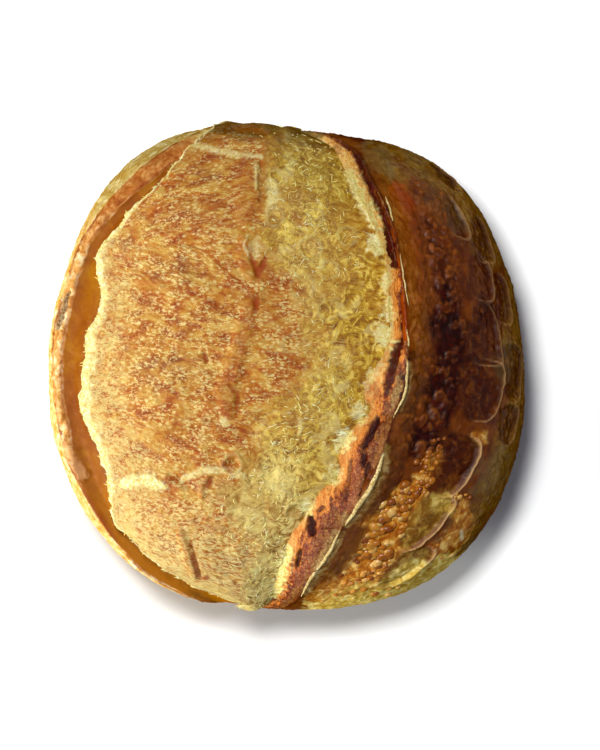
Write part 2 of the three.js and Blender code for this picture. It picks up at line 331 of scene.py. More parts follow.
# %% Turn rings of points into a mesh
def ring_normals(rings):
    """Cross product of the steps along the ring and from ring to ring."""
    around = np.roll(rings, -1, axis=1) - np.roll(rings, 1, axis=1)
    return unit(np.cross(around, np.gradient(rings, axis=0)))


def make_mesh(name, points, triangles, quads, masks):
    """Points in mm, faces as rows of point numbers, masks as one number or vector a point."""
    mesh = bpy.data.meshes.new(name)
    loops = np.concatenate([triangles.ravel(), quads.ravel()]).astype(np.int32)
    sizes = np.r_[np.full(len(triangles), 3), np.full(len(quads), 4)]
    mesh.vertices.add(len(points))
    mesh.vertices.foreach_set("co", (points * MM).astype(np.float32).ravel())
    mesh.loops.add(len(loops))
    mesh.loops.foreach_set("vertex_index", loops)
    mesh.polygons.add(len(sizes))
    mesh.polygons.foreach_set("loop_start", np.r_[0, np.cumsum(sizes)[:-1]].astype(np.int32))
    mesh.polygons.foreach_set("use_smooth", np.ones(len(sizes), bool))
    for mask, values in masks.items():
        kind, field = ("FLOAT_VECTOR", "vector") if values.ndim > 1 else ("FLOAT", "value")
        layer = mesh.attributes.new(mask, kind, "POINT")
        layer.data.foreach_set(field, values.astype(np.float32).ravel())
    mesh.update()
    mesh.validate()
    piece = bpy.data.objects.new(name, mesh)
    bpy.context.scene.collection.objects.link(piece)
    print(name, "triangles:", len(triangles) + 2 * len(quads))
    return piece


def ring_piece(name, rings, south, north, masks):
    """Quads between rings that run clockwise seen from the south, and a fan at each tip."""
    rows, columns = rings.shape[:2]
    points = np.vstack([south, rings.reshape(-1, 3), north])
    here = 1 + np.arange(columns)
    then = 1 + (np.arange(columns) + 1) % columns
    lift = columns * np.arange(rows - 1)[:, None]
    quads = np.stack([here + lift, then + lift, then + lift + columns, here + lift + columns], -1)
    top = (rows - 1) * columns
    tip = np.full(columns, len(points) - 1)
    fans = [np.stack([0 * here, then, here], -1), np.stack([here + top, then + top, tip], -1)]
    spread = {}
    for mask, values in masks.items():
        flat = values.reshape((rows * columns,) + values.shape[2:])
        spread[mask] = np.concatenate([flat[:1], flat, flat[-1:]])
    return make_mesh(name, points, np.vstack(fans), quads.reshape(-1, 4), spread)


def rows_along(count, gather=0.1):
    """Angles along, from tip to tip without the tips, drawn together in the middle."""
    even = (np.arange(1, count + 1) / (count + 1) - 0.5) * np.pi
    return even - gather * np.sin(2 * even)


def strip(start, end, count):
    """For each row, angles from start to end, without the end itself."""
    return start[:, None] + (end - start)[:, None] * np.arange(count) / count


TIPS = body(0.0, -np.pi / 2), body(0.0, np.pi / 2)


# %% [markdown]
# ## Relief and marks that every skin shares
# Broad lumps raise the crumb and the crust alike. Marks are strokes seen from above: a path
# in millimetres, a half width and a strength. Their edges wander, as nothing in bread is drawn
# with a ruler.

# %% Broad lumps, and marks by strokes
LUMPS = ((-52, 8, 30, 1.8), (-46, 66, 24, 1.4), (-52, -84, 26, 1.6), (16, 40, 26, -1.2),
         (14, -30, 24, 1.0), (92, -48, 26, 1.2))  # x, y, radius, height


def lump_relief(places):
    """A hump for each lump, faded out down the sides."""
    humps = [height * bell(np.hypot(places[..., 0] - x, places[..., 1] - y), radius)
             for x, y, radius, height in LUMPS]
    return sum(humps) * step_up(places[..., 2], 40, 70)


def skin(across, along, rise):
    """The body raised along its normal, less near the base and at the tips."""
    places = body(across, along)
    normal = body_frame(across, along)[2]
    total = rise * away_from_tips(along) + lump_relief(places)
    return places + normal * (total * step_up(places[..., 2], 2, 25))[..., None]


def path_distance(places, path):
    """Distance seen from above to a path, and the share of the way along it."""
    path = np.array(path, float)
    best, way = np.full(places.shape[:-1], 1e9), np.zeros(places.shape[:-1])
    for i, (start, end) in enumerate(zip(path[:-1], path[1:])):
        step = end - start
        t = np.clip(((places[..., :2] - start) @ step) / (step @ step), 0, 1)
        away = np.linalg.norm(places[..., :2] - start - t[..., None] * step, axis=-1)
        way = np.where(away < best, (i + t) / (len(path) - 1), way)
        best = np.minimum(best, away)
    return best, way


def drawn(places, strokes, wander=0.45, grain=3.0):
    """The strongest stroke at each place, from 0 to 1, with wandering edges."""
    loose = wander * (noise(places, grain, 50) + 0.5 * noise(places, grain / 2.3, 51))
    total = np.zeros(places.shape[:-1])
    for path, half_width, strength in strokes:
        away, way = path_distance(places, path)
        taper = 0.6 + 0.4 * np.sqrt(np.clip(4 * way * (1 - way), 0, 1))
        edge = step_up(away / half_width + loose, 0.5 * taper, 1.35 * taper)
        total = np.maximum(total, strength * (1 - edge))
    return total


def spots(places, patches, wander=0.35, grain=7.0):
    """The strongest of a list of soft ellipses: x, y, half sizes and strength."""
    loose = wander * noise(places, grain, 52)
    total = np.zeros(places.shape[:-1])
    for x, y, half_x, half_y, strength in patches:
        away = np.hypot((places[..., 0] - x) / half_x, (places[..., 1] - y) / half_y)
        total = np.maximum(total, strength * bell(away + loose, 1))
    return total


def width_of(rings):
    """Distance in mm along each ring from its first point."""
    steps = np.linalg.norm(np.diff(rings, axis=1, prepend=rings[:, :1]), axis=-1)
    return np.cumsum(steps, axis=1)


arch = body(np.radians(np.arange(0.0, 181))[None], 0.0)
print("body's arc over the top, mm:", width_of(arch)[0, -1].round(1))

# %% [markdown]
# ## The burst crumb
# Where the slash opened, the wet inside swelled out and set. Its left part browned in the
# oven, and is grainy, with cream flecks drawn out across the slash. Its right part stayed
# pale and translucent, with curly strands of gluten and the rims of burst bubbles. Creases
# are toasted red, and wherever the crumb tore late it is still cream and fluffy.

# %% Marks on the crumb, in millimetres: path, half width, strength
FOLD_EDGE = ((-112, -92, -64, -49, -30, -16, -6, 13, 32, 56, 80, 104),
             (-24, -17, -29, -20, -17, -8, 6, 11, 6, -14, -12, -12))  # y, x of the browned part
TORN_BAND = ((-100, -66, -50, -25, -5, 20, 55, 80, 100),
             (0.8, 1.2, 4.0, 5.5, 6.5, 4.2, 3.4, 1.4, 0.4))  # y, width of the fluffy edge
HOLLOWS = (
    (((-11.5, 93), (-10.5, 86), (-11.5, 77)), 2.2, 1.0),
    (((-14, 58.5), (-14.5, 52)), 4.4, 0.55),
    (((-16.5, 51), (-13, 42.5), (-9.5, 51)), 1.6, 0.9),
    (((-5.5, 55), (-6, 48), (-8.5, 41.5)), 3.8, 0.8),
    (((-9.5, 35.5), (-9, 30)), 2.8, 0.7),
    (((-14, 32.5), (-14.5, 25.5)), 1.4, 0.6),
    (((-38, 6), (-36.5, 1.5)), 1.0, 0.7),
    (((-27, -8.5), (-22.5, -13), (-23, -22)), 1.1, 0.6),
    (((-53.5, -50.5), (-45.5, -56)), 1.9, 0.6),
    (((-37, -56), (-34.5, -52)), 1.7, 0.55),
    (((-44, -83), (-42.5, -88), (-40, -96)), 1.1, 0.35),
    (((-24, 111.5), (-17.5, 111.5), (-10.5, 109.5)), 3.0, 1.0),
    (((21, 84), (24, 81)), 1.6, 0.4),
)
FOLDS = (
    (((-18.5, 95.5), (-19, 81.5), (-19.5, 68)), 4.6, 0.6),
    (((-20, 60), (-19, 50), (-16, 41)), 3.6, 0.7),
    (((-17, 28), (-22, 8), (-28, -10), (-27, -23)), 4.2, 0.6),
    (((-30, -45), (-24, -41), (-20, -46)), 2.2, 0.6),
    (((-49, -76), (-45.5, -87), (-42, -96)), 1.8, 0.7),
    (((-39, -60.5), (-39, -55.5)), 1.2, 0.6),
    (((-10.5, 102), (-3, 108.5), (6.5, 115)), 2.6, 0.8),
    (((-45, 99), (-34, 96), (-22, 93)), 2.0, 0.3),
)
RED_MARKS = (
    (((-16.5, 51), (-13, 42.5), (-9.5, 51)), 1.5, 1.0),
    (((-14, 33), (-14.5, 25.5)), 1.4, 0.9),
    (((-10.5, 20), (0.5, 24.5)), 0.9, 0.6),
    (((2.5, 71), (8.5, 66)), 2.0, 0.5),
    (((-38, 6), (-36.5, 1.5)), 0.9, 1.0),
    (((-27, -8.5), (-22.5, -13), (-23, -22)), 0.9, 0.85),
    (((-10, 6.5), (1.5, 5.5)), 0.8, 0.85),
    (((1.5, 5), (9, 2.5)), 1.0, 0.5),
    (((-16.5, -1.5), (-13.5, 2)), 0.9, 0.6),
    (((-9, -12.5), (5.5, -13.5)), 1.0, 0.5),
    (((-2, -9), (7, -9.5)), 0.8, 0.4),
    (((-30.5, -44), (-25.5, -49.5)), 1.2, 0.75),
    (((-37, -56), (-34.5, -52)), 1.3, 0.95),
    (((-43.5, -85.5), (-40, -97)), 1.2, 0.8),
    (((-39, -97), (-36, -97)), 1.2, 0.9),
    (((-44.5, -81), (-43.5, -83)), 0.9, 0.8),
    (((-13, 78), (-12, 71)), 1.3, 0.5),
    (((-46, 69), (-34, 68)), 1.2, 0.35),
    (((-33, 67), (-24, 64)), 1.5, 0.45),
    (((1, -82), (5, -80)), 1.1, 0.6),
)
PALE_TEARS = (
    (((-75.5, -54.5), (-64.5, -52.5), (-56.5, -55.5)), 3.2, 1.0),
    (((-48, -52.5), (-38.5, -48), (-29, -48), (-20, -51)), 1.9, 0.7),
    (((-46, 104), (-34, 100.5), (-22, 97.5), (-12, 96)), 1.6, 0.6),
    (((-62, 92), (-54, 99), (-46, 104)), 1.0, 0.6),
    (((-14.5, 92.5), (-14.5, 81)), 0.6, 0.6),
    (((-14, 58.5), (-14.5, 52)), 3.0, 0.5),
    (((-8, 86), (-6, 80), (-7, 76)), 2.6, 0.65),
    (((-30, -24), (-27.5, -27.5)), 1.7, 0.7),
    (((6, -33), (7, -24)), 0.8, 0.7),
    (((-18, 60.5), (-20, 56), (-17, 50)), 0.6, 0.6),
)
FOOT_FLUFF = (
    (((30, 94.5), (33, 88), (36, 81), (40, 73.5), (43, 66.5)), 2.4, 1.0),
    (((43.0, 62), (42.5, 55)), 3.8, 1.0),
    (((48.0, 44.5), (47.5, 36)), 2.1, 1.0),
    (((48.5, 31.5), (49, 22)), 2.3, 0.9),
    (((45.5, 18), (47.5, 12)), 4.5, 1.0),
    (((40.5, -2), (41, -7)), 2.2, 0.7),
    (((34, -19.5), (36, -24.5)), 3.8, 0.9),
    (((30.5, -31), (25.5, -38.5)), 3.4, 1.0),
    (((22, -49.5), (22.5, -54)), 4.4, 1.0),
    (((11, -64), (10, -70)), 2.6, 0.9),
    (((1, -88), (-2, -99.5), (-5.5, -111)), 3.2, 1.0),
)
MAUVE_SPOTS = ((-50, 44, 13, 9, 0.75), (-44, 69, 22, 6, 0.5), (-56, 0, 16, 7, 0.9),
               (-60, -11, 8, 4, 0.6), (-34, 88, 9, 7, 0.5), (-49, 17, 20, 12, 0.35),
               (-51, -28, 15, 6, 0.3))
CURLY_SPOTS = ((9, 62, 19, 40, 1.0), (15, -16, 16, 28, 0.8), (-4, -50, 18, 20, 1.0),
               (-14, -84, 18, 22, 0.9), (3, 20, 14, 16, 0.7), (-12, 88, 7, 12, 0.5))
FLUFFY_SPOTS = ((-6, -53, 15, 17, 1.0), (-14, -78, 15, 18, 0.7), (4, 32, 12, 14, 0.5),
                (-20, -46, 10, 6, 0.5))
ORANGE_SPOTS = ((-3, 74, 8, 9, 0.4), (2, 30, 13, 12, 0.55), (6, 6, 12, 8, 0.6), (10, 57, 7, 5, 0.4),
                (-14, -70, 10, 14, 0.3), (-8, 108, 12, 6, 0.45), (26, 8, 8, 5, 0.35),
                (30, 58, 6, 16, 0.15), (-4, -22, 14, 10, 0.4))
BUBBLES = ((-5.5, 69.5, 4.2), (7.5, 37, 5.8), (19.5, 27, 4.8), (14, 70, 3.9), (-7, 83.5, 2.9),
           (3.5, -69, 3.9), (-25.5, -45.5, 4.4), (11.5, 55, 5.0), (20.5, 45.5, 4.2),
           (2, 10, 3.9), (29, 62, 4.4), (-37, -25, 1.6))  # x, y, radius


# %% Relief and masks of the crumb
def burst_bubbles(places):
    """Ragged rims round the bubbles, from 0 to 1, and how deep the bowls inside are, in mm."""
    rims, bowls = np.zeros(places.shape[:-1]), np.zeros(places.shape[:-1])
    uneven = 1 + 0.2 * noise(places, 5, 20)
    ragged = step_up(noise(places, 2.5, 21), -0.7, 0.1)
    for bubble_x, bubble_y, radius in BUBBLES:
        away = np.hypot(places[..., 0] - bubble_x, places[..., 1] - bubble_y) * uneven
        rims = np.maximum(rims, bell(away - radius, 0.65) * ragged)
        bowls += 0.9 * (1 - step_up(away, 0.2 * radius, radius))
    return rims, bowls


def crumb_shape(places, flow, from_edge):
    """Swells, drawn-out grain, curly ridges, bubbles and marks, added up. Returns the relief
    in mm and the masks, each from 0 to 1."""
    x, y = places[..., 0], places[..., 1]
    wander = 6 * noise(places, 24, 3) + 5 * noise(places, 8, 4) + 2 * noise(places, 3, 5)
    fold = smooth_curve(y, *FOLD_EDGE)
    left = 1 - step_up(x + wander, fold - 5, fold + 9)
    orange = spots(places, ORANGE_SPOTS, 0.5, 6)
    brown = np.maximum(left, orange)
    curly = spots(places, CURLY_SPOTS, 0.3, 9) * (1 - 0.8 * left)
    fluffy = spots(places, FLUFFY_SPOTS, 0.4, 8)
    hollow = drawn(places, HOLLOWS)
    folds = drawn(places, FOLDS, 0.25, 6)
    red = drawn(places, RED_MARKS, 0.5, 1.6)
    tears = np.maximum(drawn(places, PALE_TEARS, 0.5, 2.4), drawn(places, FOOT_FLUFF, 0.7, 2.2))
    band = smooth_curve(y, *TORN_BAND) * (1 + 0.45 * noise(places, 9, 6) + 0.4 * noise(places, 2.6, 7))
    torn_edge = 1 - step_up(from_edge, 0.4 * band, 1.5 * band)
    torn = np.maximum(tears, torn_edge)

    relief = 0.9 * noise(places, 24, 8) + 0.45 * noise(places, 10, 9)
    streaks = noise(flow * (1 / 13, 1 / 3.6, 1), 1, 10)
    flecks = noise(flow * (1 / 3.4, 1 / 1.7, 1), 1, 11)
    relief += left * (1 - 0.75 * folds) * (0.4 * streaks + 0.34 * flecks)
    curls = 1 - abs(noise(places + 1.6 * noise(places, 3.2, 12)[..., None], 4.2, 13))
    webs = 1 - abs(noise(places + 2 * noise(places, 7, 14)[..., None], 10, 15))
    relief += curly * (0.35 * step_up(curls, 0.7, 1) + 0.5 * webs ** 6 - 0.25)
    near, _, _ = scattered(places, 4.6, 16)
    relief += (0.2 * curly + 0.6 * fluffy) * (caps(near, 0.75) - 0.5)
    relief += (1 - left) * 0.25 * noise(flow * (1 / 24, 1 / 1.8, 1), 1, 17)
    relief += torn * (0.4 + 0.3 * noise(places, 1.5, 18) + 0.3 * noise(places, 4, 19))

    rims, bowls = burst_bubbles(places)
    relief += 0.55 * rims + 1.6 * folds - 2.0 * hollow - bowls
    # Darker at the north end and towards the corner by the ear: partly browning, partly painted shade
    # where the top turns away from the light.
    dark_end = step_up(y + wander, 98, 114)
    dark_corner = step_up(y + 0.5 * x + wander, 78, 106)
    near_edge = (1 - step_up(from_edge + 2 * wander, 6, 30)) * step_up(-y, -75, -30)
    masks = {"brown": brown, "left": left, "curly": np.maximum(curly, fluffy), "red": red,
             "torn": torn, "mauve": spots(places, MAUVE_SPOTS, 0.5, 9) * left, "rims": rims,
             "hollow": hollow, "fold": folds, "tip": np.maximum(dark_end, 0.35 * dark_corner),
             "near_edge": near_edge, "fluffy": fluffy,
             "creamy": step_up(-y + 1.5 * wander, 45, 85)}
    return relief, masks


# %% The crumb's section: a wall at the torn edge, the top and an underside
CRUMB_ROWS = 444
WALL_COLUMNS, CRUMB_COLUMNS, UNDER_COLUMNS = 18, 196, 8
TORN_EDGE_HEIGHT = 4
CRUMB_SWELL = 2
CRUMB_SINK = 3
WALL_KNOTS = 0, 0.35, 0.7, 0.9, 1
WALL_WAY = 0.016, 0.006, -0.002, -0.004, 0  # share of the way from the torn edge to the ear
WALL_RISE = -7, -3.5, 0, 2.6, TORN_EDGE_HEIGHT  # mm above the body
UNDER_START = -4  # mm above the body, where the underside begins
PAST_THE_FOOT = 1.02  # share of that way at which the top ends, under the ear's foot
wall_share = np.linspace(0, 1, WALL_COLUMNS, endpoint=False)
top_share = np.linspace(0, PAST_THE_FOOT, CRUMB_COLUMNS, endpoint=False)
top_rise = (TORN_EDGE_HEIGHT + CRUMB_SWELL * np.sin(np.pi * np.clip(top_share, 0, 1))
            - (TORN_EDGE_HEIGHT + CRUMB_SINK) * top_share ** 3)
crumb_way = np.concatenate([
    smooth_curve(wall_share, WALL_KNOTS, WALL_WAY), top_share,
    np.linspace(PAST_THE_FOOT, WALL_WAY[0], UNDER_COLUMNS, endpoint=False)])
crumb_rise = np.concatenate([
    smooth_curve(wall_share, WALL_KNOTS, WALL_RISE), top_rise,
    np.linspace(UNDER_START, WALL_RISE[0], UNDER_COLUMNS, endpoint=False)])
shown = np.concatenate([wall_share, np.ones(CRUMB_COLUMNS), np.zeros(UNDER_COLUMNS)])
print("crumb's height over the body, mm:", crumb_rise.min(), "to", crumb_rise.max().round(1))

# %% Its places, its relief and its rings
along = rows_along(CRUMB_ROWS)
torn_at, foot_at = torn_angle(along), foot_angle(along)
across = torn_at[:, None] + (foot_at - torn_at)[:, None] * crumb_way
rows = np.broadcast_to(along[:, None], across.shape)
places = body(across, rows)
arc = width_of(places)
from_edge = arc - arc[:, WALL_COLUMNS:WALL_COLUMNS + 1]
lean = 0.12 + 0.0008 * places[..., 1]  # the crumb was drawn out down to the right
flow = np.stack([arc, places[..., 1] + lean * places[..., 0], 0 * rows], -1)
relief, crumb_masks = crumb_shape(places, flow, abs(from_edge))
crumb_rings = skin(across, rows, np.broadcast_to(crumb_rise, across.shape))
edge = bell(from_edge, 1.6) * shown
sideways = edge * (1.6 * noise(places, 6, 22) + 1.0 * noise(places, 2.0, 23)) * fine_fade(rows)
crumb_rings += ring_normals(crumb_rings) * (relief * shown * fine_fade(rows))[..., None]
crumb_rings += unit(body_frame(across, rows)[0]) * (-0.8 * sideways)[..., None]
crumb_masks["flow"] = flow
crumb = ring_piece("crumb", crumb_rings, *TIPS, crumb_masks)
crumb_top = crumb_rings[:, WALL_COLUMNS:WALL_COLUMNS + CRUMB_COLUMNS]

# %% [markdown]
# ## The crust
# The old skin of the loaf browned most. The right side, beyond the ear, is glassy and dark,
# with scale-like blisters and two rows of leaf cuts. The rest runs under the loaf and up the
# left side to the lip and the smooth groove inside it. The two pieces cross at a shallow
# angle below the waist, so no seam shows.

# %% Leaf cuts and marks on the right side, in millimetres
LEAVES = ((76, 92, 24, 13, 24, 0.12), (81, 72, 24, 12, 8, 0.2), (94, 62, 28, 15, 18, 0.15),
          (93, 43, 24, 17, 10, 0.22), (103, 33, 26, 18, 8, 0.15), (95, 15, 30, 22, 4, 0.22),
          (108.5, -3, 29, 22, 0, 0.15), (93, -11, 30, 27, 0, 0.35), (106, -28, 20, 18, -8, 0.2),
          (80.5, -47.5, 32, 19, 6, 0.8), (66, -75, 32, 19, 8, 0.9),
          (56, -97.5, 30, 18, -2, 0.9))  # x, y, long, wide, turn, how sharp its rim is
LEAF_DEPTH = 2.4
AMBER = (
    (((52, 85), (55, 77.5), (58, 55.5), (59.5, 31.5), (57, 10)), 5.5, 1),
    (((56, -25.5), (51.5, -35)), 4.2, 0.5),
    (((73, -28), (78.5, -21.5)), 2.9, 0.5),
)
# The near-black maroon right of the ear: partly a dark bake, partly painted shade where the flank turns
# away from the light.
MAROON = (
    (((69.5, 67.5), (74, 49.5), (80.5, 31.5)), 4.8, 0.6),
    (((76, 31.5), (79, 12.5), (77, -7.5), (69, -28), (61, -37.5)), 11, 1),
    (((58, 4), (59, -13.5), (56, -30)), 5.0, 0.9),
    (((91.5, 33.5), (96, 22)), 4.4, 0.7),
    (((87.5, 17.5), (91.5, -21)), 8.0, 0.75),
    (((54, -42), (47, -54), (40.5, -66)), 6.4, 0.6),
    (((79, -37.5), (83.5, -49.5)), 6.4, 0.5),
    (((42.5, -85), (36, -88.5)), 2.8, 0.7),
)
ORANGE = (
    (((61, -58.5), (51.5, -75.5), (42.5, -92.5), (30.5, -106), (16, -112)), 10.5, 1),
    (((73, -40.5), (67.5, -49)), 4.8, 0.3),
    (((84, -66), (83, -78), (75, -89)), 5.5, 0.75),
    (((90, -32.5), (93.5, -35.5)), 3.9, 0.55),
    (((71.5, -85.5), (76, -93)), 3.9, 0.5),
)
OLIVE = (
    (((50, 109), (74.5, 97.5), (91, 78), (103, 54)), 11.5, 1),
    (((40, 106), (49, 96), (55, 86)), 6.5, 0.9),
    (((108, 44.5), (113, 13), (112, -16), (104, -47.5), (90, -73.5), (76, -98)), 8.0, 1),
)
SHADE = ((((41.5, -75.5), (31.5, -90), (23, -100.5)), 4.6, 1),)
# Painted sheen: a grey-olive veil on the flank, standing in for the pale floor mirrored in the glossy
# crust.
HAZE = (
    (((40, 104), (50, 93)), 6.0, 0.8),
    (((63, 92), (74, 81), (82, 68)), 8.0, 0.3),
    (((57.5, 105), (66.5, 97)), 5.0, 0.6),
    (((101.5, -42.5), (92.5, -59)), 7.0, 0.6),
    (((106, 10.5), (104.5, -6.5)), 4.5, 0.4),
    (((91.5, -84), (86.5, -89)), 4.0, 0.5),
)
PALE_FOOT = (
    (((12, -117), (30, -114.5), (50, -110), (66, -103.5), (80, -94)), 8.5, 1),
    (((63, -95), (54, -106)), 6.5, 0.9),
    (((72, -63), (77, -69)), 5.0, 0.6),
)
PALE_BACK = (
    (((48, -38), (46, -48), (41, -59), (35, -69), (30, -75)), 2.3, 1),
    (((27, -79), (21, -90), (15, -99), (9, -108)), 2.0, 1),
    (((58, 2), (58.5, -8), (54, -21)), 0.9, 0.7),
)
WHITE_LENS = ((((84, -78.5), (84.5, -83.5)), 0.9, 1),)
SCALY = (
    (((66.5, 84.5), (73, 60), (68, 31.5), (67, 3), (64.5, -25.5), (56.5, -42)), 11.5, 1),
    (((80.5, 31.5), (85, 17.5)), 8.5, 0.7),
    (((51.5, -39.5), (44.5, -58.5)), 7.5, 0.5),
)
CHARRED_LIP = ((((-103, 35), (-105, 27), (-107.5, 18)), 1.2, 1),)
ROUGH_LIP = ((((-105, -33), (-100, -46), (-96, -53.5)), 1.0, 1),)


# %% Relief and masks of the crust
def leaf_marks(across, along, places):
    """For each leaf cut, a dish inside a thin raised rim, steepest on its right side, and a crescent of
    painted shade inside its far edge.
    """
    relief, rim, dish, dark = (np.zeros_like(across) for _ in range(4))
    for x, y, length, width, turn, edge in LEAVES:
        leaf_across, leaf_along = angles_above(float(x), float(y))
        right_step, north_step, _ = body_frame(leaf_across, leaf_along)
        right = (leaf_across - across) * np.linalg.norm(right_step)
        north = (along - leaf_along) * np.linalg.norm(north_step)
        near = np.hypot(right, north) < length
        right, north = right[near], north[near]
        cos, sin = math.cos(math.radians(turn)), math.sin(math.radians(turn))
        lengthways = (north * cos + right * sin) / (length / 2)
        sideways = (right * cos - north * sin) / (width / 2)
        sideways *= 1 + (0.22 if y > 0 else -0.3) * lengthways  # teardrops, narrow towards the tips
        bend = 0.10 * noise(places[near], 9, 30) + 0.05 * noise(places[near], 3, 31)
        away = np.hypot(sideways, lengthways * abs(lengthways)) + bend
        gap = (away - 1) * width / 2
        inside = 1 - step_up(away, 0.7, 0.99)
        towards = step_up(sideways - 0.35 * lengthways, -0.35, 0.45)
        raised = 0.8 * bell(gap, 0.65) + 0.25 * bell(gap, 3)
        relief[near] += (0.15 + 0.85 * edge) * raised * towards
        relief[near] -= LEAF_DEPTH * inside * (0.1 + 0.5 * step_up(sideways, -0.8, 0.7))
        rim[near] = np.maximum(rim[near], edge * bell(gap, 0.5) * towards)
        dish[near] = np.maximum(dish[near], inside)
        # Painted shade: a dark crescent just inside the rim, on the side where the cut is deepest, left
        # off the sharpest leaves.
        crescent = bell(gap + 2.0, 1.7) * step_up(sideways + 0.6 * lengthways, 0.1, 0.9)
        crescent *= edge < 0.9
        dark[near] = np.maximum(dark[near], crescent)
    return relief, {"rim": rim, "dish": dish, "crescent": dark}


def crust_shape(across, along, places):
    """Swells, scale-like blisters and fine bubbles, with the leaf cuts on top."""
    leaf, masks = leaf_marks(across, along, places)
    relief = 0.8 * noise(places, 26, 32) + 0.35 * noise(places, 9, 33)
    loose = places + 1.2 * np.stack([noise(places, 4, 34), noise(places, 4, 35), 0 * across], -1)
    near, _, number = scattered(loose, 5.0, 36)
    scaly = drawn(places, SCALY, 0.3, 9)
    big = (number > 0.3) * caps(near, 0.52)
    small_near, _, small_number = scattered(loose, 2.5, 40)
    grainy = step_up(noise(places, 17, 56), -0.3, 0.3)
    small = (small_number > 0.8 - 0.5 * grainy) * caps(small_near, 0.5)
    clear = 1 - 0.7 * masks["dish"]
    relief += clear * (scaly * 1.1 * big + (0.35 + 0.35 * scaly) * small)
    relief += 0.2 * noise(places, 2.0, 44) + leaf + 0.5 * masks["dish"] * noise(places, 3.2, 45)
    # The blisters' rims, lighter on one side only: thin translucent crust, partly a painted highlight.
    beyond, _, _ = scattered(loose + (0.7, 0.4, 0), 5.0, 36)
    scale_rim = bell(near - 0.46, 0.09) * (number > 0.3) * step_up(beyond - near, -0.1, 0.05)
    masks.update(scales=scaly * big * clear, scale_rim=scale_rim * scaly * clear,
                 small=small * clear, amber=drawn(places, AMBER, 0.4, 8),
                 maroon=drawn(places, MAROON, 0.5, 9), orange=drawn(places, ORANGE, 0.5, 7),
                 olive=drawn(places, OLIVE, 0.4, 10), shade=drawn(places, SHADE, 0.2, 6),
                 haze=drawn(places, HAZE, 0.7, 6), white=drawn(places, WHITE_LENS, 0.1),
                 pale_foot=drawn(places, PALE_FOOT, 0.5, 6), pale_back=drawn(places, PALE_BACK, 0.5, 3))
    return relief, masks


# %% [markdown]
# ## The right side
# This is the skin that the slash lifted: it begins under the ear's crest and falls down the
# flank to below the waist. The ear stands straight up from the body by a section drawn once,
# which is scaled by the height of the flap at each place along the slash.

# %% The right side, from under the ear's crest to below the waist
UP = np.array([0, 0, 1])
SEAM, SEAM_OVERLAP = math.radians(-10), math.radians(5)
SEAM_DIP = 14  # mm for each radian past the seam
SIDE_ROWS = 440
SECTION_COLUMNS, FLANK_COLUMNS, CLOSING_COLUMNS = 40, 166, 10
SIDE_START = 0.8  # place in the ear's section, behind its torn face
CLOSING_DEPTH = 10  # mm under the body, where the piece closes


def crest_waves(places):
    """The factor by which the crest is higher or lower from place to place."""
    return 1 + 0.07 * noise(places, 7, 46) + 0.05 * noise(places, 2.6, 47)


along = rows_along(SIDE_ROWS)
section = np.linspace(SIDE_START, 2, SECTION_COLUMNS, endpoint=False)
flank_end = np.full(SIDE_ROWS, SEAM - SEAM_OVERLAP)
across = np.hstack([
    ear_across(section[None, :], along[:, None]),
    strip(ear_across(np.full(SIDE_ROWS, 2.0), along), flank_end, FLANK_COLUMNS),
    strip(flank_end, ear_across(np.full(SIDE_ROWS, SIDE_START), along), CLOSING_COLUMNS)])
rows = np.broadcast_to(along[:, None], across.shape)
closing = np.zeros(across.shape)
arch = np.sin(np.linspace(0.06, 0.9, CLOSING_COLUMNS) * np.pi) ** 0.5
closing[:, -CLOSING_COLUMNS:] = -CLOSING_DEPTH * arch
rise = closing - SEAM_DIP * np.maximum(SEAM - across, 0) * (closing == 0)
rise[:, :SECTION_COLUMNS] -= 1.6 * (1 - step_up(section, 0.82, 0.985))
lift = np.zeros(across.shape)
lift[:, :SECTION_COLUMNS] = ear_lift(section[None, :], along[:, None])
print("tallest of the ear, mm:", lift.max().round(1))

# %% Its relief, its rings and its masks
places = body(across, rows)
relief, side_masks = crust_shape(across, rows, places)
shown = np.where(closing == 0, 1.0, 0.0)
shown[:, :SECTION_COLUMNS] = np.linspace(0.3, 1, SECTION_COLUMNS)
side_rings = skin(across, rows, rise) + (lift * crest_waves(places))[..., None] * UP
side_rings += ring_normals(side_rings) * (relief * shown * fine_fade(rows))[..., None]
# Painted light: the ear's outer face turns away from the lamps, so it gets a lighter amber, most in the
# middle of the slash and little at its north end.
outer_face, y = np.zeros(across.shape), places[..., 1]
outer_face[:, :SECTION_COLUMNS] = step_up(section, 1.0, 1.15) * (1 - step_up(section, 1.25, 2))
outer_face *= 0.4 + 0.6 * step_up(y, -10, 30) - 0.7 * step_up(y, 75, 95)
side_masks["outer_face"] = outer_face
side_masks["gold"] = side_masks["dish"] * step_up(-places[..., 1], 56, 64)
crust_side = ring_piece("crust_side", side_rings, *TIPS, side_masks)

# %% [markdown]
# ## Base, left side, lip and groove
# This skin slid outwards when the loaf opened, and its edge rolled up into a low lip. Inside
# the lip the slash left a smooth, shaded groove. One run of columns goes under the base and up
# the left side, and a section drawn once for lip and groove is carried along the lip's line,
# which is how a moulding is run.

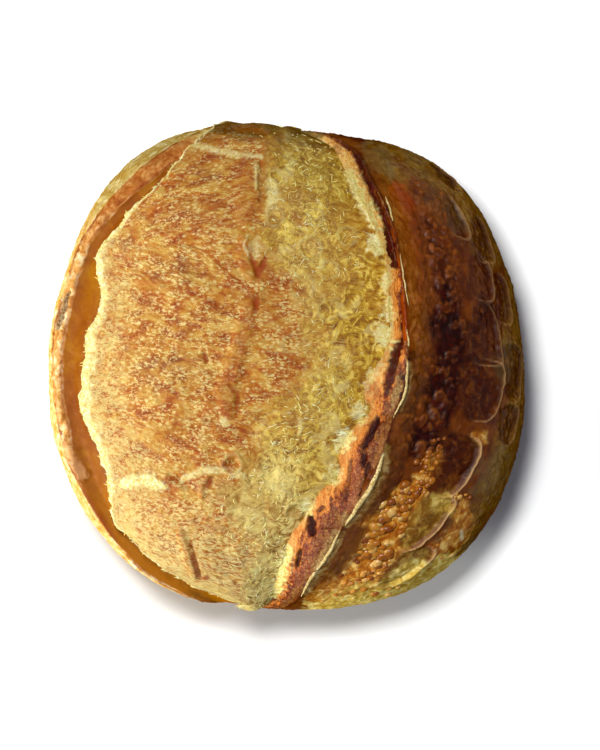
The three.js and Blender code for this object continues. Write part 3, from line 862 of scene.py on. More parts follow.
# %% The rest of the crust: where its columns lie
BASE_ROWS = 380
BASE_CORNERS = -52, -128, -180  # degrees across: right and left edge of the base, left waist
RUN_COLUMNS = 50, 18, 50, 44  # up to each corner, and from the last one up to the lip
LIP_COLUMNS, BED_COLUMNS = 84, 12
BED_DEPTH, BED_START = 12, 3  # mm under the body, where the piece closes beneath the crumb
LIP_HEIGHT = 3
GROOVE_DEPTH = 3
LIP_END = 0.3  # place in the section where the lip ends and the groove starts
LIP_SECTION = ((-0.55, 0), (-0.3, 0.45 * LIP_HEIGHT), (-0.08, 0.95 * LIP_HEIGHT), (0.1, LIP_HEIGHT),
               (0.24, 0.7 * LIP_HEIGHT), (0.34, -0.3 * GROOVE_DEPTH), (0.5, -0.95 * GROOVE_DEPTH),
               (0.8, -GROOVE_DEPTH), (1.15, -2 * GROOVE_DEPTH))  # share of the way to the torn edge
lip_share = np.linspace(0, 1, LIP_COLUMNS, endpoint=False)
lip_knots = np.arange(len(LIP_SECTION)) / (len(LIP_SECTION) - 1)
lip_way, lip_rise = (smooth_curve(lip_share, lip_knots, column)
                     for column in np.array(LIP_SECTION).T)

along = rows_along(BASE_ROWS)
lip_at, torn_at = lip_angle(along) - 2 * np.pi, torn_angle(along) - 2 * np.pi
lip_start = lip_at + (torn_at - lip_at) * LIP_SECTION[0][0]
lip_end = lip_at + (torn_at - lip_at) * LIP_SECTION[-1][0]
seam_start = np.full(BASE_ROWS, SEAM + SEAM_OVERLAP)
lip_y = body(lip_at, along)[..., 1]
wider_north, narrower_south = 0.5 * step_up(lip_y, 62, 105), 0.1 * step_up(-lip_y, 30, 60)
groove_start = (LIP_END - narrower_south + wider_north)[:, None]
beyond_lip = 1 - (1 - lip_way) * (1 - groove_start) / (1 - LIP_END)
on_the_lip = np.where(lip_way < LIP_END, lip_way * groove_start / LIP_END, beyond_lip)
lip_way = np.where(lip_way < 0, lip_way, on_the_lip)
corners = [np.full(BASE_ROWS, math.radians(angle)) for angle in BASE_CORNERS]
starts, ends = [seam_start, *corners], [*corners, lip_start]
across = np.hstack([
    *(strip(start, end, count) for start, end, count in zip(starts, ends, RUN_COLUMNS)),
    lip_at[:, None] + (torn_at - lip_at)[:, None] * lip_way,
    strip(lip_end, seam_start - 2 * np.pi, BED_COLUMNS)])
rows = np.broadcast_to(along[:, None], across.shape)
before_lip = sum(RUN_COLUMNS)
lip_columns = slice(before_lip, before_lip + LIP_COLUMNS)
rise = -SEAM_DIP * np.maximum(across - SEAM, 0)
rise[:, lip_columns] = lip_rise
arch = np.sin(np.linspace(0.3, 0.95, BED_COLUMNS) * np.pi) ** 0.5
rise[:, -BED_COLUMNS:] = -BED_DEPTH * arch - BED_START
print("columns of the rest of the crust:", across.shape[1])

# %% Its masks, its relief and its rings
places = body(across, rows)
relief, base_masks = crust_shape(across, rows, places)
groove, lip, red_line, under_wall, ridge = (np.zeros(across.shape) for _ in range(5))
lip_places = places[:, lip_columns]
lip_width = (lip_at - torn_at) * np.linalg.norm(body_frame(lip_at, along)[0], axis=-1)
from_lip = lip_width[:, None] * lip_way + 0.4 * noise(lip_places, 8, 58)
from_groove = from_lip - groove_start * lip_width[:, None] + 0.3 * noise(lip_places, 2.6, 59)
from_groove += 1.8 * step_up(-lip_y, 25, 55)[:, None]
groove[:, lip_columns] = step_up(from_groove, -0.3, 0.5)
lip[:, lip_columns] = step_up(from_lip, 1.0, 1.8) * (1 - groove[:, lip_columns])
lip *= 1 - step_up(places[..., 1], 104, 110)
ridge[:, lip_columns] = lip[:, lip_columns] * step_up(lip_y, 50, 75)[:, None]
outer_line, inner_line = bell(from_lip - 1.9, 0.9), 0.8 * bell(from_groove + 0.2, 0.45)
red_line[:, lip_columns] = np.maximum(outer_line, inner_line)
red_line *= step_up(noise(places, 9, 57), -0.6, 0.2)
# Painted shade: the groove is darkened along the foot of the crumb's torn wall, much less towards the
# south.
less_south = 1 - 0.8 * step_up(-lip_y, 20, 50)
under_wall[:, lip_columns] = step_up(lip_way, 0.75, 1.0) * less_south[:, None]
charred, scuffed = drawn(places, CHARRED_LIP, 0.4, 3), drawn(places, ROUGH_LIP, 0.4, 2)
relief *= 1 - 0.8 * groove
relief += lip * (0.7 * noise(places, 7, 48) + 0.5 * noise(places, 2.2, 49))
relief += scuffed * (1 + 0.8 * noise(places, 1.6, 55)) - 0.8 * charred
shown = fine_fade(rows) * step_up(places[..., 2], 0.5, 8)
shown[:, -BED_COLUMNS:] = 0
base_rings = skin(across, rows, rise)
base_rings += ring_normals(base_rings) * (relief * shown)[..., None]
base_rings[..., 2] = np.maximum(base_rings[..., 2], 0)
floury = step_up(-places[..., 0], -5, 30) * (1 - groove) * (1 - lip)
yellow = floury * step_up(places[..., 1] + 8 * noise(places, 12, 65), 55, 85)
hearth = 1 - step_up(places[..., 2], 3, 30)
# Painted light: the south end of the groove is lightened against the shade of the crumb's wall.
low_groove = groove * step_up(-places[..., 1], 45, 75)
base_masks.update(groove=groove, lip=lip, charred=charred, scuffed=scuffed, floury=floury,
                  hearth=hearth, red_line=red_line, under_wall=under_wall, ridge=ridge,
                  yellow=yellow, low_groove=low_groove)
crust_base = ring_piece("crust_base", base_rings, *TIPS, base_masks)

# %% [markdown]
# ## The ear
# The flap of crust that lifted as the slash opened shows its torn inside to the left. It is
# cream and fluffy at the foot, then orange and rough, and burnt crimson just under the crest.
# It broke twice, so it stands in three flaps, and along the crest thin pale blades of crust
# are left.

# %% Marks on the ear's torn face, in millimetres
BURNT = (
    (((27, 107.5), (30, 103.5)), 0.9, 0.8),
    (((32, 103.5), (37, 93), (41.5, 81.5), (45, 72.5)), 2.2, 1.0),
    (((46.5, 70.5), (49, 62.5), (51, 53), (52.5, 47)), 2.4, 1.0),
    (((55, 35), (55.5, 26.5), (55.5, 16)), 2.5, 1.0),
    (((54, 12.5), (51.5, 5), (49.5, -2.5), (47, -13.5)), 2.6, 1.0),
    (((43.5, -24.5), (40.5, -30), (36.5, -38)), 1.9, 1.0),
    (((37, -42), (36, -47.5)), 1.6, 1.0),
    (((39, -46), (38.5, -54), (35.5, -62)), 1.9, 0.8),
    (((31, -44), (29.5, -54), (28.5, -63.5)), 1.0, 0.7),
    (((11.5, -72), (12, -80.5)), 2.1, 1.0),
    (((6.5, -88.5), (4.5, -96)), 1.2, 0.9),
    (((15, -69), (18, -67)), 1.0, 0.8),
    (((53, 2), (54.5, -6)), 1.0, 0.7),
)
MAUVE_FACE = (
    (((49, 60), (50.5, 52.5)), 1.3, 1),
    (((40.5, -7.5), (42.5, -13.5)), 2.4, 0.5),
    (((33.5, -45.5), (32, -56), (30, -67)), 2.6, 1),
    (((17, -73), (12, -82.5), (9.5, -92), (5, -104)), 3.2, 0.6),
    (((24, 106.5), (25.5, 104.5)), 3.0, 0.6),
)
PALE_FACE = (
    (((53.5, -4.5), (52.5, -12), (49.5, -19.5)), 1.8, 1),
    (((40, -59.5), (36, -66), (31, -72)), 1.6, 0.8),
    (((23, -78.5), (19, -87.5), (14, -96)), 2.0, 1),
    (((28, -70.5), (27, -74)), 2.4, 0.9),
)
FACE_SLOTS = (
    (((43.5, -24.5), (40.5, -30), (36.5, -38), (36, -47.5)), 1.5, 1.0),
    (((38.5, -46), (38, -54), (35.5, -62)), 1.3, 0.7),
    (((11.5, -73), (12, -79.5)), 1.8, 0.8),
    (((6.5, -88.5), (4.5, -96)), 1.1, 0.7),
    (((54, 12.5), (51.5, 5), (49.5, -2.5)), 1.7, 0.4),
)
CRUMBLES = ((((39.5, -8), (40, -17)), 3.0, 1.0), (((22, 106), (25, 104)), 3.0, 0.8))


# %% Build the ear's torn face as a rough shell
FACE_ROWS = 620
FACE_COLUMNS, FACE_BACK_COLUMNS = 84, 8
FACE_START, FACE_END = -0.04, 1.06  # places in the ear's section
FACE_BACK_DEPTH = 5.5
along = rows_along(FACE_ROWS, 0.0)
face_way = np.concatenate([np.linspace(FACE_START, FACE_END, FACE_COLUMNS, endpoint=False),
                           np.linspace(FACE_END, FACE_START, FACE_BACK_COLUMNS, endpoint=False)])
across = ear_across(face_way[None, :], along[:, None])
rows = np.broadcast_to(along[:, None], across.shape)
places = body(across, rows)
way = np.broadcast_to(face_way, across.shape)
shown = np.ones(across.shape)
shown[:, FACE_COLUMNS:] = 0
rise = -CRUMB_SINK * np.maximum(1 - way, 0) ** 2 * shown
rise -= 1.4 * step_up(way, 0.985, 1.05) + 1.2 * (1 - step_up(way, -0.03, 0.02))
rise = np.where(shown > 0, rise, -FACE_BACK_DEPTH)
lift = ear_lift(way, rows)
burnt, slots = drawn(places, BURNT, 0.4, 2.2), drawn(places, FACE_SLOTS, 0.3, 2.5)
crumbles = drawn(places, CRUMBLES, 0.6, 2.5)
fluff = drawn(places, FOOT_FLUFF, 0.7, 2.2)
relief = 0.32 * noise(places, 2.4, 60) + 0.22 * noise(places, 1.1, 61) + 0.4 * noise(places, 6, 62)
relief += 0.3 * noise(places * (1, 0.25, 1), 1.4, 63) - 0.6 * burnt - 1.6 * slots + 0.4 * fluff
relief += crumbles * (1.2 + 1.2 * noise(places, 2.0, 64))
face_rings = skin(across, rows, rise) + (lift * crest_waves(places))[..., None] * UP
face_rings += ring_normals(face_rings) * (relief * shown * fine_fade(rows))[..., None]
face_masks = {
    "burnt": burnt, "fluff": fluff, "mauve": drawn(places, MAUVE_FACE, 0.6, 2.5),
    "pale": drawn(places, PALE_FACE, 0.7, 1.8), "slots": slots,
    "way": way + 0.26 * step_up(-places[..., 1], 0, 35),
    "upper": step_up(places[..., 1], 35, 60) * (1 - step_up(way, 0.45, 0.65)),
    "capped": step_up(places[..., 1] + 2 * noise(places, 5, 66), 110, 113)}
ear_face = ring_piece("ear_face", face_rings, *TIPS, face_masks)


# %% [markdown]
# ## Blades on the crest
# Where the dough broke last, thin pale blades of crust stand on the crest. A blade is long and
# very thin, so it is drawn as a flattened tube round a path that follows the crest. The same
# tubes serve for the strands and fibres of the crumb.

# %% Tubes along paths
END_CAP = 0.7  # how far a tube's pointed end stands out, in radii


def tubes(name, paths, radii, flatness, sides):
    """Closed tapering tubes: rings of points round each path, and a point at each end. The
    rings lie in the plane across the path and are flattened upwards by flatness."""
    count, steps = paths.shape[:2]
    heading = unit(np.gradient(paths, axis=1))
    side = unit(np.cross(heading, UP))
    up = np.cross(side, heading) * flatness
    turn = 2 * np.pi * np.arange(sides) / sides
    ring = side[:, :, None] * np.cos(turn)[:, None] + up[:, :, None] * np.sin(turn)[:, None]
    points = paths[:, :, None] + ring * radii[:, :, None, None]
    outwards = radii[:, [0, -1]] * [[-END_CAP, END_CAP]]
    ends = paths[:, [0, -1]] + heading[:, [0, -1]] * outwards[..., None]
    first = (np.arange(count) * steps * sides)[:, None, None]
    here = np.arange(sides)
    then = (here + 1) % sides
    lift = sides * np.arange(steps - 1)[:, None]
    quads = np.stack([first + lift + here, first + lift + then, first + lift + then + sides,
                      first + lift + here + sides], -1).reshape(-1, 4)
    tip = (count * steps * sides + 2 * np.arange(count))[:, None] + 0 * here
    start, last = first[:, 0], first[:, 0] + (steps - 1) * sides
    fans = np.concatenate([np.stack([start + then, start + here, tip], -1).reshape(-1, 3),
                           np.stack([last + here, last + then, tip + 1], -1).reshape(-1, 3)])
    everything = np.vstack([points.reshape(-1, 3), ends.reshape(-1, 3)])
    return make_mesh(name, everything, fans, quads[:, ::-1], {})


def resampled(path, count):
    """A smooth curve through the points of a path, at even shares of its length."""
    path = np.array(path, float)
    knots = np.r_[0, np.cumsum(np.linalg.norm(np.diff(path, axis=0), axis=1))]
    shares = np.linspace(0, knots[-1], count)
    return np.stack([smooth_curve(shares, knots, column) for column in path.T], -1)


def surface_above(x, y):
    """Height of the crust or the ear over x, y, without its fine relief."""
    across, along = angles_above(x, y)
    places = skin(across, along, 0)
    return places[..., 2] + ear_lift(np.clip(ear_way(across, along), 0, 2), along)


# %% Thin pale blades along the crest
BLADES = (  # path, half width in mm
    (((47, 80.5), (49, 74.5), (50.5, 68.5)), 0.5),
    (((53.5, 53.5), (55.5, 41), (57, 31.5), (57.5, 28.5)), 0.35),
    (((57, 17.5), (57.5, 10), (57, 7)), 0.35),
    (((56, 6), (57, 0.5), (56.5, -10.5), (54, -17.5), (50.5, -24.5)), 0.6),
    (((46, -41.5), (42.5, -51.5), (39, -58.5), (34, -66), (28, -75.5)), 1.1),
    (((25.5, -77.5), (20, -89), (13.5, -98), (7, -110)), 0.8),
)
BLADE_STEPS = 60
blade_paths = np.stack([resampled(path, BLADE_STEPS) for path, _ in BLADES])
blade_heights = surface_above(blade_paths[..., 0] - 1.0, blade_paths[..., 1]) + 0.6
blade_paths = np.dstack([blade_paths, blade_heights])
blade_paths += 0.35 * np.stack([noise(blade_paths, 4, 70), 0 * blade_heights,
                                noise(blade_paths, 5, 71)], -1)
share = np.linspace(0, 1, BLADE_STEPS)
blade_radii = np.array([half for _, half in BLADES])[:, None]
blade_radii = blade_radii * (4 * share * (1 - share) + 0.02) ** 0.45
blade_radii *= 1 + 0.25 * noise(blade_paths, 3, 72)
ear_blades = tubes("ear_blades", blade_paths, blade_radii, 0.5, 8)

# %% [markdown]
# ## Beads
# Steam bubbles under the skin set as small glassy beads, crowded at the lower right. They are
# too many to place by hand, so seeded random draws scatter them in zones, and each one is a
# small ellipsoid of a few dozen faces, half sunk in the crust.

# %% Beads of set bubbles on the crust
BEAD_ZONES = (  # path, half width, beads for each square cm, mean half length in mm
    (((66, -48), (74, -38)), 5.5, 20, 1.5),
    (((56, -62), (66, -56)), 5.5, 18, 1.8),
    (((55, -61.5), (49, -76), (43, -89)), 8.5, 13, 2.3),
    (((36, -88), (30, -101), (48, -103)), 9.0, 10, 1.5),
    (((60, -92), (46, -98)), 6.0, 14, 1.4),
    (((78, -63.5), (87, -60.5)), 3.9, 16, 1.3),
    (((72.5, -87), (76.5, -91)), 3.4, 12, 1.2),
    (((61, -80.5), (65.5, -76), (69.5, -73)), 3.6, 20, 1.1),
    (((21, -108), (11.5, -113)), 3.9, 12, 1.0),
)
BEAD_SIDES = 9
BEAD_RINGS = -40, -5, 28, 60  # degrees above a bead's middle
chance = np.random.default_rng(7)


def scatter_in(path, half_width, density):
    """Random places within a half width of a path, as many as its area asks for."""
    low = np.min(path, axis=0) - half_width
    high = np.max(path, axis=0) + half_width
    count = int(np.prod(high - low) * density / 100)
    places = low + chance.random((count, 2)) * (high - low)
    away, _ = path_distance(places, path)
    return places[away < half_width * (0.6 + 0.4 * chance.random(count))]


def domes(name, centres, normals, headings, sizes, masks):
    """Closed ellipsoids, each on its own axes: heading, sideways and normal."""
    turns = 2 * np.pi * np.arange(BEAD_SIDES) / BEAD_SIDES
    lifts = np.radians(BEAD_RINGS)[:, None]
    shape = np.stack([np.cos(lifts) * np.cos(turns), np.cos(lifts) * np.sin(turns),
                      np.sin(lifts) + 0 * turns], -1).reshape(-1, 3)
    shape = np.vstack([[0, 0, -1], shape, [0, 0, 1]])
    each, last_ring = len(shape), BEAD_SIDES * (len(BEAD_RINGS) - 1)
    axes = np.stack([headings, np.cross(normals, headings), normals], 1) * sizes[:, :, None]
    points = centres[:, None] + shape @ axes
    for k in range(3):
        points[..., k] += 0.2 * sizes[:, :1] * noise(points, 1.7, 90 + k)
    here, then = 1 + np.arange(BEAD_SIDES), 1 + (np.arange(BEAD_SIDES) + 1) % BEAD_SIDES
    band = np.stack([here, then, then + BEAD_SIDES, here + BEAD_SIDES], -1)
    quads = np.concatenate([band + lift for lift in range(0, last_ring, BEAD_SIDES)])
    fans = np.concatenate([np.stack([0 * here, then, here], -1),
                           np.stack([here + last_ring, then + last_ring, 0 * here + each - 1], -1)])
    lift = (each * np.arange(len(centres)))[:, None, None]
    spread = {mask: np.repeat(values, each) for mask, values in masks.items()}
    return make_mesh(name, points.reshape(-1, 3), (fans + lift).reshape(-1, 3),
                     (quads + lift).reshape(-1, 4), spread)


# %% Scatter the beads and build them
bead_places, bead_lengths = [], []
for path, half_width, density, mean_length in BEAD_ZONES:
    found = scatter_in(np.array(path, float), half_width, density)
    bead_places.append(found)
    bead_lengths.append(mean_length * chance.uniform(0.6, 1.45, len(found)))
bead_places, bead_lengths = np.vstack(bead_places), np.concatenate(bead_lengths)
bead_across, bead_along = angles_above(*bead_places.T)
bead_relief, bead_masks = crust_shape(bead_across, bead_along, body(bead_across, bead_along))
clear_of_the_ear = ear_way(bead_across, bead_along) > 1.35
keep = (bead_masks["dish"] < 0.15) & (bead_masks["rim"] < 0.4) & clear_of_the_ear
bead_across, bead_along, bead_lengths = bead_across[keep], bead_along[keep], bead_lengths[keep]
centres = skin(bead_across, bead_along, bead_relief[keep])
right, north, normals = body_frame(bead_across, bead_along)
heading = np.radians(chance.normal(48, 22, len(centres)))[:, None]
headings = unit(unit(right) * np.cos(heading) + unit(north) * np.sin(heading))
headings = unit(headings - normals * (headings * normals).sum(1, keepdims=True))
widths = chance.uniform(0.6, 0.85, len(centres))
heights = chance.uniform(0.45, 0.65, len(centres))
sizes = bead_lengths[:, None] * np.stack([np.ones(len(centres)), widths, heights], 1)
centres -= 0.15 * sizes[:, 2:] * normals
beads = domes("beads", centres, normals, headings, sizes,
              {"tone": chance.random(len(centres)) * step_up(-centres[:, 1], 20, 70)})


# %% [markdown]
# ## Strands and fibres
# Gluten dries in short curly strands on the pale crumb, and fibres stick out wherever it tore.
# Each is a thin tube along a walk over the crumb's own grid of points, so it hugs the surface
# whatever the relief does there.

# %% Walks over the crumb
SHORTEST_STEP = 0.2  # mm between two points of the grid, where they crowd at the tips


def on_crumb(row, column):
    """Points of the crumb's top at fractions of a row and a column, blended from four."""
    row = np.clip(row, 0, crumb_top.shape[0] - 1.001)
    column = np.clip(column, 0, crumb_top.shape[1] - 1.001)
    i, j = row.astype(int), column.astype(int)
    s, t = (row - i)[..., None], (column - j)[..., None]
    near = crumb_top[i, j] * (1 - t) + crumb_top[i, j + 1] * t
    far = crumb_top[i + 1, j] * (1 - t) + crumb_top[i + 1, j + 1] * t
    return near * (1 - s) + far * s


def walk(row, column, heading, curl, length, steps):
    """Paths over the crumb from a start and a heading that turns evenly, with some wobble."""
    paths = np.zeros((len(row), steps, 3))
    for k in range(steps):
        paths[:, k] = on_crumb(row, column)
        stride = length / steps
        right_step = np.linalg.norm(on_crumb(row, column + 1) - paths[:, k], axis=1)
        north_step = np.linalg.norm(on_crumb(row + 1, column) - paths[:, k], axis=1)
        row = row + stride * np.sin(heading) / np.maximum(north_step, SHORTEST_STEP)
        column = column + stride * np.cos(heading) / np.maximum(right_step, SHORTEST_STEP)
        heading = heading + curl * stride + chance.normal(0, 0.25, len(row))
    return paths


# %% Curly strands, thickest where the crumb is curly
STRAND_TRIES = 9000
STRAND_STEPS = 12
top_masks = {mask: values[:, WALL_COLUMNS:WALL_COLUMNS + CRUMB_COLUMNS]
             for mask, values in crumb_masks.items()}
row = chance.uniform(4, CRUMB_ROWS - 5, STRAND_TRIES)
column = chance.uniform(2, CRUMB_COLUMNS - 6, STRAND_TRIES)
here = row.astype(int), column.astype(int)
area = np.cos(rows_along(CRUMB_ROWS))[here[0]]
liking = top_masks["curly"][here] * 0.5 + 0.03 * (1 - top_masks["left"][here])
liking = liking * (1 - top_masks["torn"][here]) * area
chosen = chance.random(STRAND_TRIES) < liking
row, column = row[chosen], column[chosen]
count = len(row)
curl = chance.normal(0, 0.55, count)
heading, length = chance.uniform(0, 2 * np.pi, count), chance.uniform(1.2, 4.5, count)
paths = walk(row, column, heading, curl, length, STRAND_STEPS)
hump = np.sin(np.pi * np.linspace(0, 1, STRAND_STEPS))
paths[..., 2] += 0.1 + 0.35 * hump * chance.random((count, 1))
radii = chance.uniform(0.13, 0.26, count)[:, None] * (0.35 + 0.65 * hump)
strands = tubes("strands", paths, radii, 0.8, 4)

# %% Torn fibres, on the torn edge and at the ear's foot
FIBRE_STEPS = 5
EDGE_FIBRES, FOOT_FIBRE_TRIES = 400, 1500
towards_end = np.linspace(0, 1, FIBRE_STEPS)
edge_row = chance.uniform(20, CRUMB_ROWS - 20, EDGE_FIBRES)
edge_paths = walk(edge_row, np.full(EDGE_FIBRES, 0.6), np.full(EDGE_FIBRES, np.pi),
                  np.zeros(EDGE_FIBRES), np.full(EDGE_FIBRES, 0.1), FIBRE_STEPS)
edge_along = rows_along(CRUMB_ROWS)[edge_row.astype(int)]
edge_right = unit(body_frame(torn_angle(edge_along), edge_along)[0])[:, None]
reach = np.minimum(chance.exponential(0.3, EDGE_FIBRES), 0.8)[:, None, None]
swing = chance.normal(0, 0.9, (EDGE_FIBRES, 1, 3)) * (1, 1, 0.6)
edge_paths = edge_paths + reach * towards_end[None, :, None] * (swing - edge_right)
edge_radii = chance.uniform(0.16, 0.36, EDGE_FIBRES)[:, None] * np.linspace(1, 0.4, FIBRE_STEPS)

foot_row = chance.uniform(30, CRUMB_ROWS - 25, FOOT_FIBRE_TRIES)
foot_places = on_crumb(foot_row, np.full(FOOT_FIBRE_TRIES, CRUMB_COLUMNS - 6.0))
foot_fluff = drawn(foot_places - (1.5, 0, 0), FOOT_FLUFF, 0.7, 2.2)
foot_row = foot_row[foot_fluff > chance.random(FOOT_FIBRE_TRIES) * 0.8]
foot_count = len(foot_row)
foot_paths = walk(foot_row, CRUMB_COLUMNS - chance.uniform(4, 9, foot_count),
                  np.pi + chance.normal(0, 0.25, foot_count), chance.normal(0, 0.1, foot_count),
                  chance.uniform(1.5, 6.5, foot_count), FIBRE_STEPS)
foot_paths[..., 2] += 0.25
foot_radii = chance.uniform(0.1, 0.24, foot_count)[:, None] * np.linspace(1, 0.35, FIBRE_STEPS)
torn_fibres = tubes("torn_fibres", np.vstack([edge_paths, foot_paths]),
                    np.vstack([edge_radii, foot_radii]), 0.7, 4)

# %% [markdown]
# ## Finishes
# Bread browns by heat: the same dough is cream, then yellow, amber, mahogany and at last
# black. Each finish starts from a mottled ground, then lays colours over it by the masks.

# %% Colours and nodes
def linear(code):
    """sRGB hex to linear RGBA."""
    srgb = np.array([int(code[i:i + 2], 16) for i in (1, 3, 5)]) / 255
    rgb = np.where(srgb <= 0.04045, srgb / 12.92, ((srgb + 0.055) / 1.055) ** 2.4)
    return (*rgb.tolist(), 1.0)


def add(tree, kind, inputs=(), stops=(), **settings):
    """Adds a node. Settings are its own properties, inputs the values or links of its
    sockets by name or place, and stops the places and colours of a ramp."""
    node = tree.nodes.new("ShaderNode" + kind)
    for key, value in settings.items():
        setattr(node, key, value)
    for key, value in dict(inputs).items():
        if isinstance(value, bpy.types.NodeSocket):
            tree.links.new(value, node.inputs[key])
        else:
            node.inputs[key].default_value = value
    for i, (place, code) in enumerate(stops):
        point = node.color_ramp.elements[i] if i < 2 else node.color_ramp.elements.new(place)
        point.position, point.color = place, linear(code)
    return node


def new_material(name):
    """An empty node tree, and the place on the object in millimetres."""
    material = bpy.data.materials.new(name)
    material.use_nodes = True
    tree = material.node_tree
    tree.nodes.clear()
    place = add(tree, "TexCoord").outputs["Object"]
    scaled = add(tree, "Mapping", {"Vector": place, "Scale": (1 / MM, 1 / MM, 1 / MM)})
    return material, tree, scaled.outputs[0]


# %% Patterns and ramps
def pattern(tree, place, size, detail=3.0, bend=0.0, stretch=(1, 1, 1), grit=0.6):
    """Noise whose swellings lie about a size in mm apart, drawn out by a stretch."""
    scaled = add(tree, "Mapping", {"Vector": place, "Scale": [1 / (size * k) for k in stretch]})
    noise_node = add(tree, "TexNoise", {"Vector": scaled.outputs[0], "Scale": 1.0, "Detail": detail,
                                        "Roughness": grit, "Distortion": bend})
    return noise_node.outputs["Fac"]


def ramp(tree, value, *stops):
    """Colours by value: places and colours, of which a new ramp already has the two ends."""
    ordered = (stops[0], stops[-1]) + stops[1:-1]
    return add(tree, "ValToRGB", {0: value}, ordered).outputs[0]


def mottle(tree, value, dark, medium, light, low=0.38, high=0.62):
    """Three tints by a noise: dark below low, medium at a half and light above high."""
    return ramp(tree, value, (low, dark), (0.5, medium), (high, light))


def level(tree, value, low, high):
    """0 below low, 1 above high."""
    return add(tree, "MapRange", {0: value, 1: low, 2: high}).outputs[0]


def times(tree, *values):
    """The product of sockets or numbers, kept from 0 to 1."""
    product = values[0]
    for value in values[1:]:
        step = add(tree, "Math", {0: product, 1: value}, operation="MULTIPLY", use_clamp=True)
        product = step.outputs[0]
    return product


def less(tree, value):
    """One minus a value."""
    return add(tree, "Math", {0: 1.0, 1: value}, operation="SUBTRACT", use_clamp=True).outputs[0]


def seeds(tree, place, size, share, stretch=(1, 1, 1)):
    """Round grains about a size in mm apart: 1 at their middles, in a share of the cells."""
    scaled = add(tree, "Mapping", {"Vector": place, "Scale": [1 / (size * k) for k in stretch]})
    cells = add(tree, "TexVoronoi", {"Vector": scaled.outputs[0], "Scale": 1.0})
    picked = add(tree, "Math", {0: cells.outputs["Color"], 1: share}, operation="LESS_THAN")
    return times(tree, level(tree, cells.outputs["Distance"], 0.45, 0.2), picked.outputs[0])


# %% Layers of colour, and the surface itself
def mask(tree, name):
    """A mask stored on the points."""
    return add(tree, "Attribute", attribute_name=name).outputs["Fac"]


def lay(tree, colour, over, *shares):
    """One colour over another by the product of some shares, as sockets or numbers."""
    over = linear(over) if isinstance(over, str) else over
    inputs = {0: times(tree, *shares), 6: colour, 7: over}
    return add(tree, "Mix", inputs, data_type="RGBA").outputs[2]


def lay_masks(tree, colour, *layers):
    """Tints laid one over another, each by the name of its mask, its share and itself."""
    for name, share, tint in layers:
        colour = lay(tree, colour, tint, mask(tree, name), share)
    return colour


def finish_with(tree, colour, height, depth_mm, roughness, gleam, **sockets):
    """The surface shader, with a bump of the given depth. Dry crust mirrors nothing at a
    flat angle, so the gleam fades as the surface turns away from the eye."""
    bump = add(tree, "Bump", {"Height": height, "Strength": 1.0, "Distance": depth_mm * MM})
    turned = add(tree, "LayerWeight", {"Blend": 0.5}).outputs["Facing"]
    gleam = add(tree, "MapRange", {0: turned, 1: 0.2, 2: 0.5, 3: gleam, 4: 0.0}).outputs[0]
    inputs = {"Base Color": colour, "Roughness": roughness, "Normal": bump.outputs[0],
              "Specular IOR Level": gleam}
    inputs.update({key.replace("_", " "): value for key, value in sockets.items()})
    shader = add(tree, "BsdfPrincipled", inputs)
    add(tree, "OutputMaterial", {"Surface": shader.outputs[0]})
    print("nodes of the finish:", len(tree.nodes))


# %% [markdown]
# ## Toasted crumb
# Crumb is starch set as a foam. It is matt where it dried, and a little light goes through it,
# so the pale parts glow. Its left part is toasted orange with cream flecks, drawn out with the
# flow of the dough, which is why the flecks read the flow and not the place.

# %% The toasted part of the crumb
crumb_finish, tree, place = new_material("toasted_crumb")
flow = add(tree, "Attribute", attribute_name="flow").outputs["Vector"]
patches = pattern(tree, place, 26, 3, 0.3)
grain = pattern(tree, flow, 6, 9, 0.5, (1.7, 1, 1), 0.74)
streak = pattern(tree, flow, 2.6, 3, 0.4, (3.4, 1.0, 1))
toasted = ramp(tree, grain, (0.40, "#853904"), (0.455, "#9a510d"), (0.50, "#a36418"),
               (0.545, "#ac7826"), (0.60, "#b48d3f"))
toasted = lay(tree, toasted, "#8e480a", level(tree, patches, 0.5, 0.68), 0.35)
toasted = lay(tree, toasted, "#76360a", level(tree, streak, 0.55, 0.7), 0.4)
toasted = lay(tree, toasted, "#653b24", mask(tree, "mauve"), level(tree, grain, 0.6, 0.42), 0.85)
worms = pattern(tree, flow, 1.2, 3, 0.9, (1.7, 0.85, 1))
rice = seeds(tree, flow, 2.1, 0.4, (1.25, 0.85, 1))
thick = level(tree, pattern(tree, flow, 8, 3, 0.2, (1.4, 1, 1)), 0.36, 0.56)
smooth_fold = less(tree, times(tree, mask(tree, "fold"), 0.7))
toasted = lay(tree, toasted, "#cfbe7a", level(tree, worms, 0.5, 0.6), thick, smooth_fold, 0.8)
toasted = lay(tree, toasted, "#d1c080", rice, smooth_fold, 0.6)
toasted = lay(tree, toasted, "#cfbe7d", mask(tree, "creamy"), level(tree, worms, 0.4, 0.52), 0.55)
fine = pattern(tree, flow, 1.6, 4, 1.2, (1.3, 1, 1), 0.7)
toasted = lay(tree, toasted, "#baaa6a", level(tree, fine, 0.44, 0.56), mask(tree, "near_edge"), 0.8)
toasted = lay(tree, toasted, "#91541b", mask(tree, "fold"), 0.3)

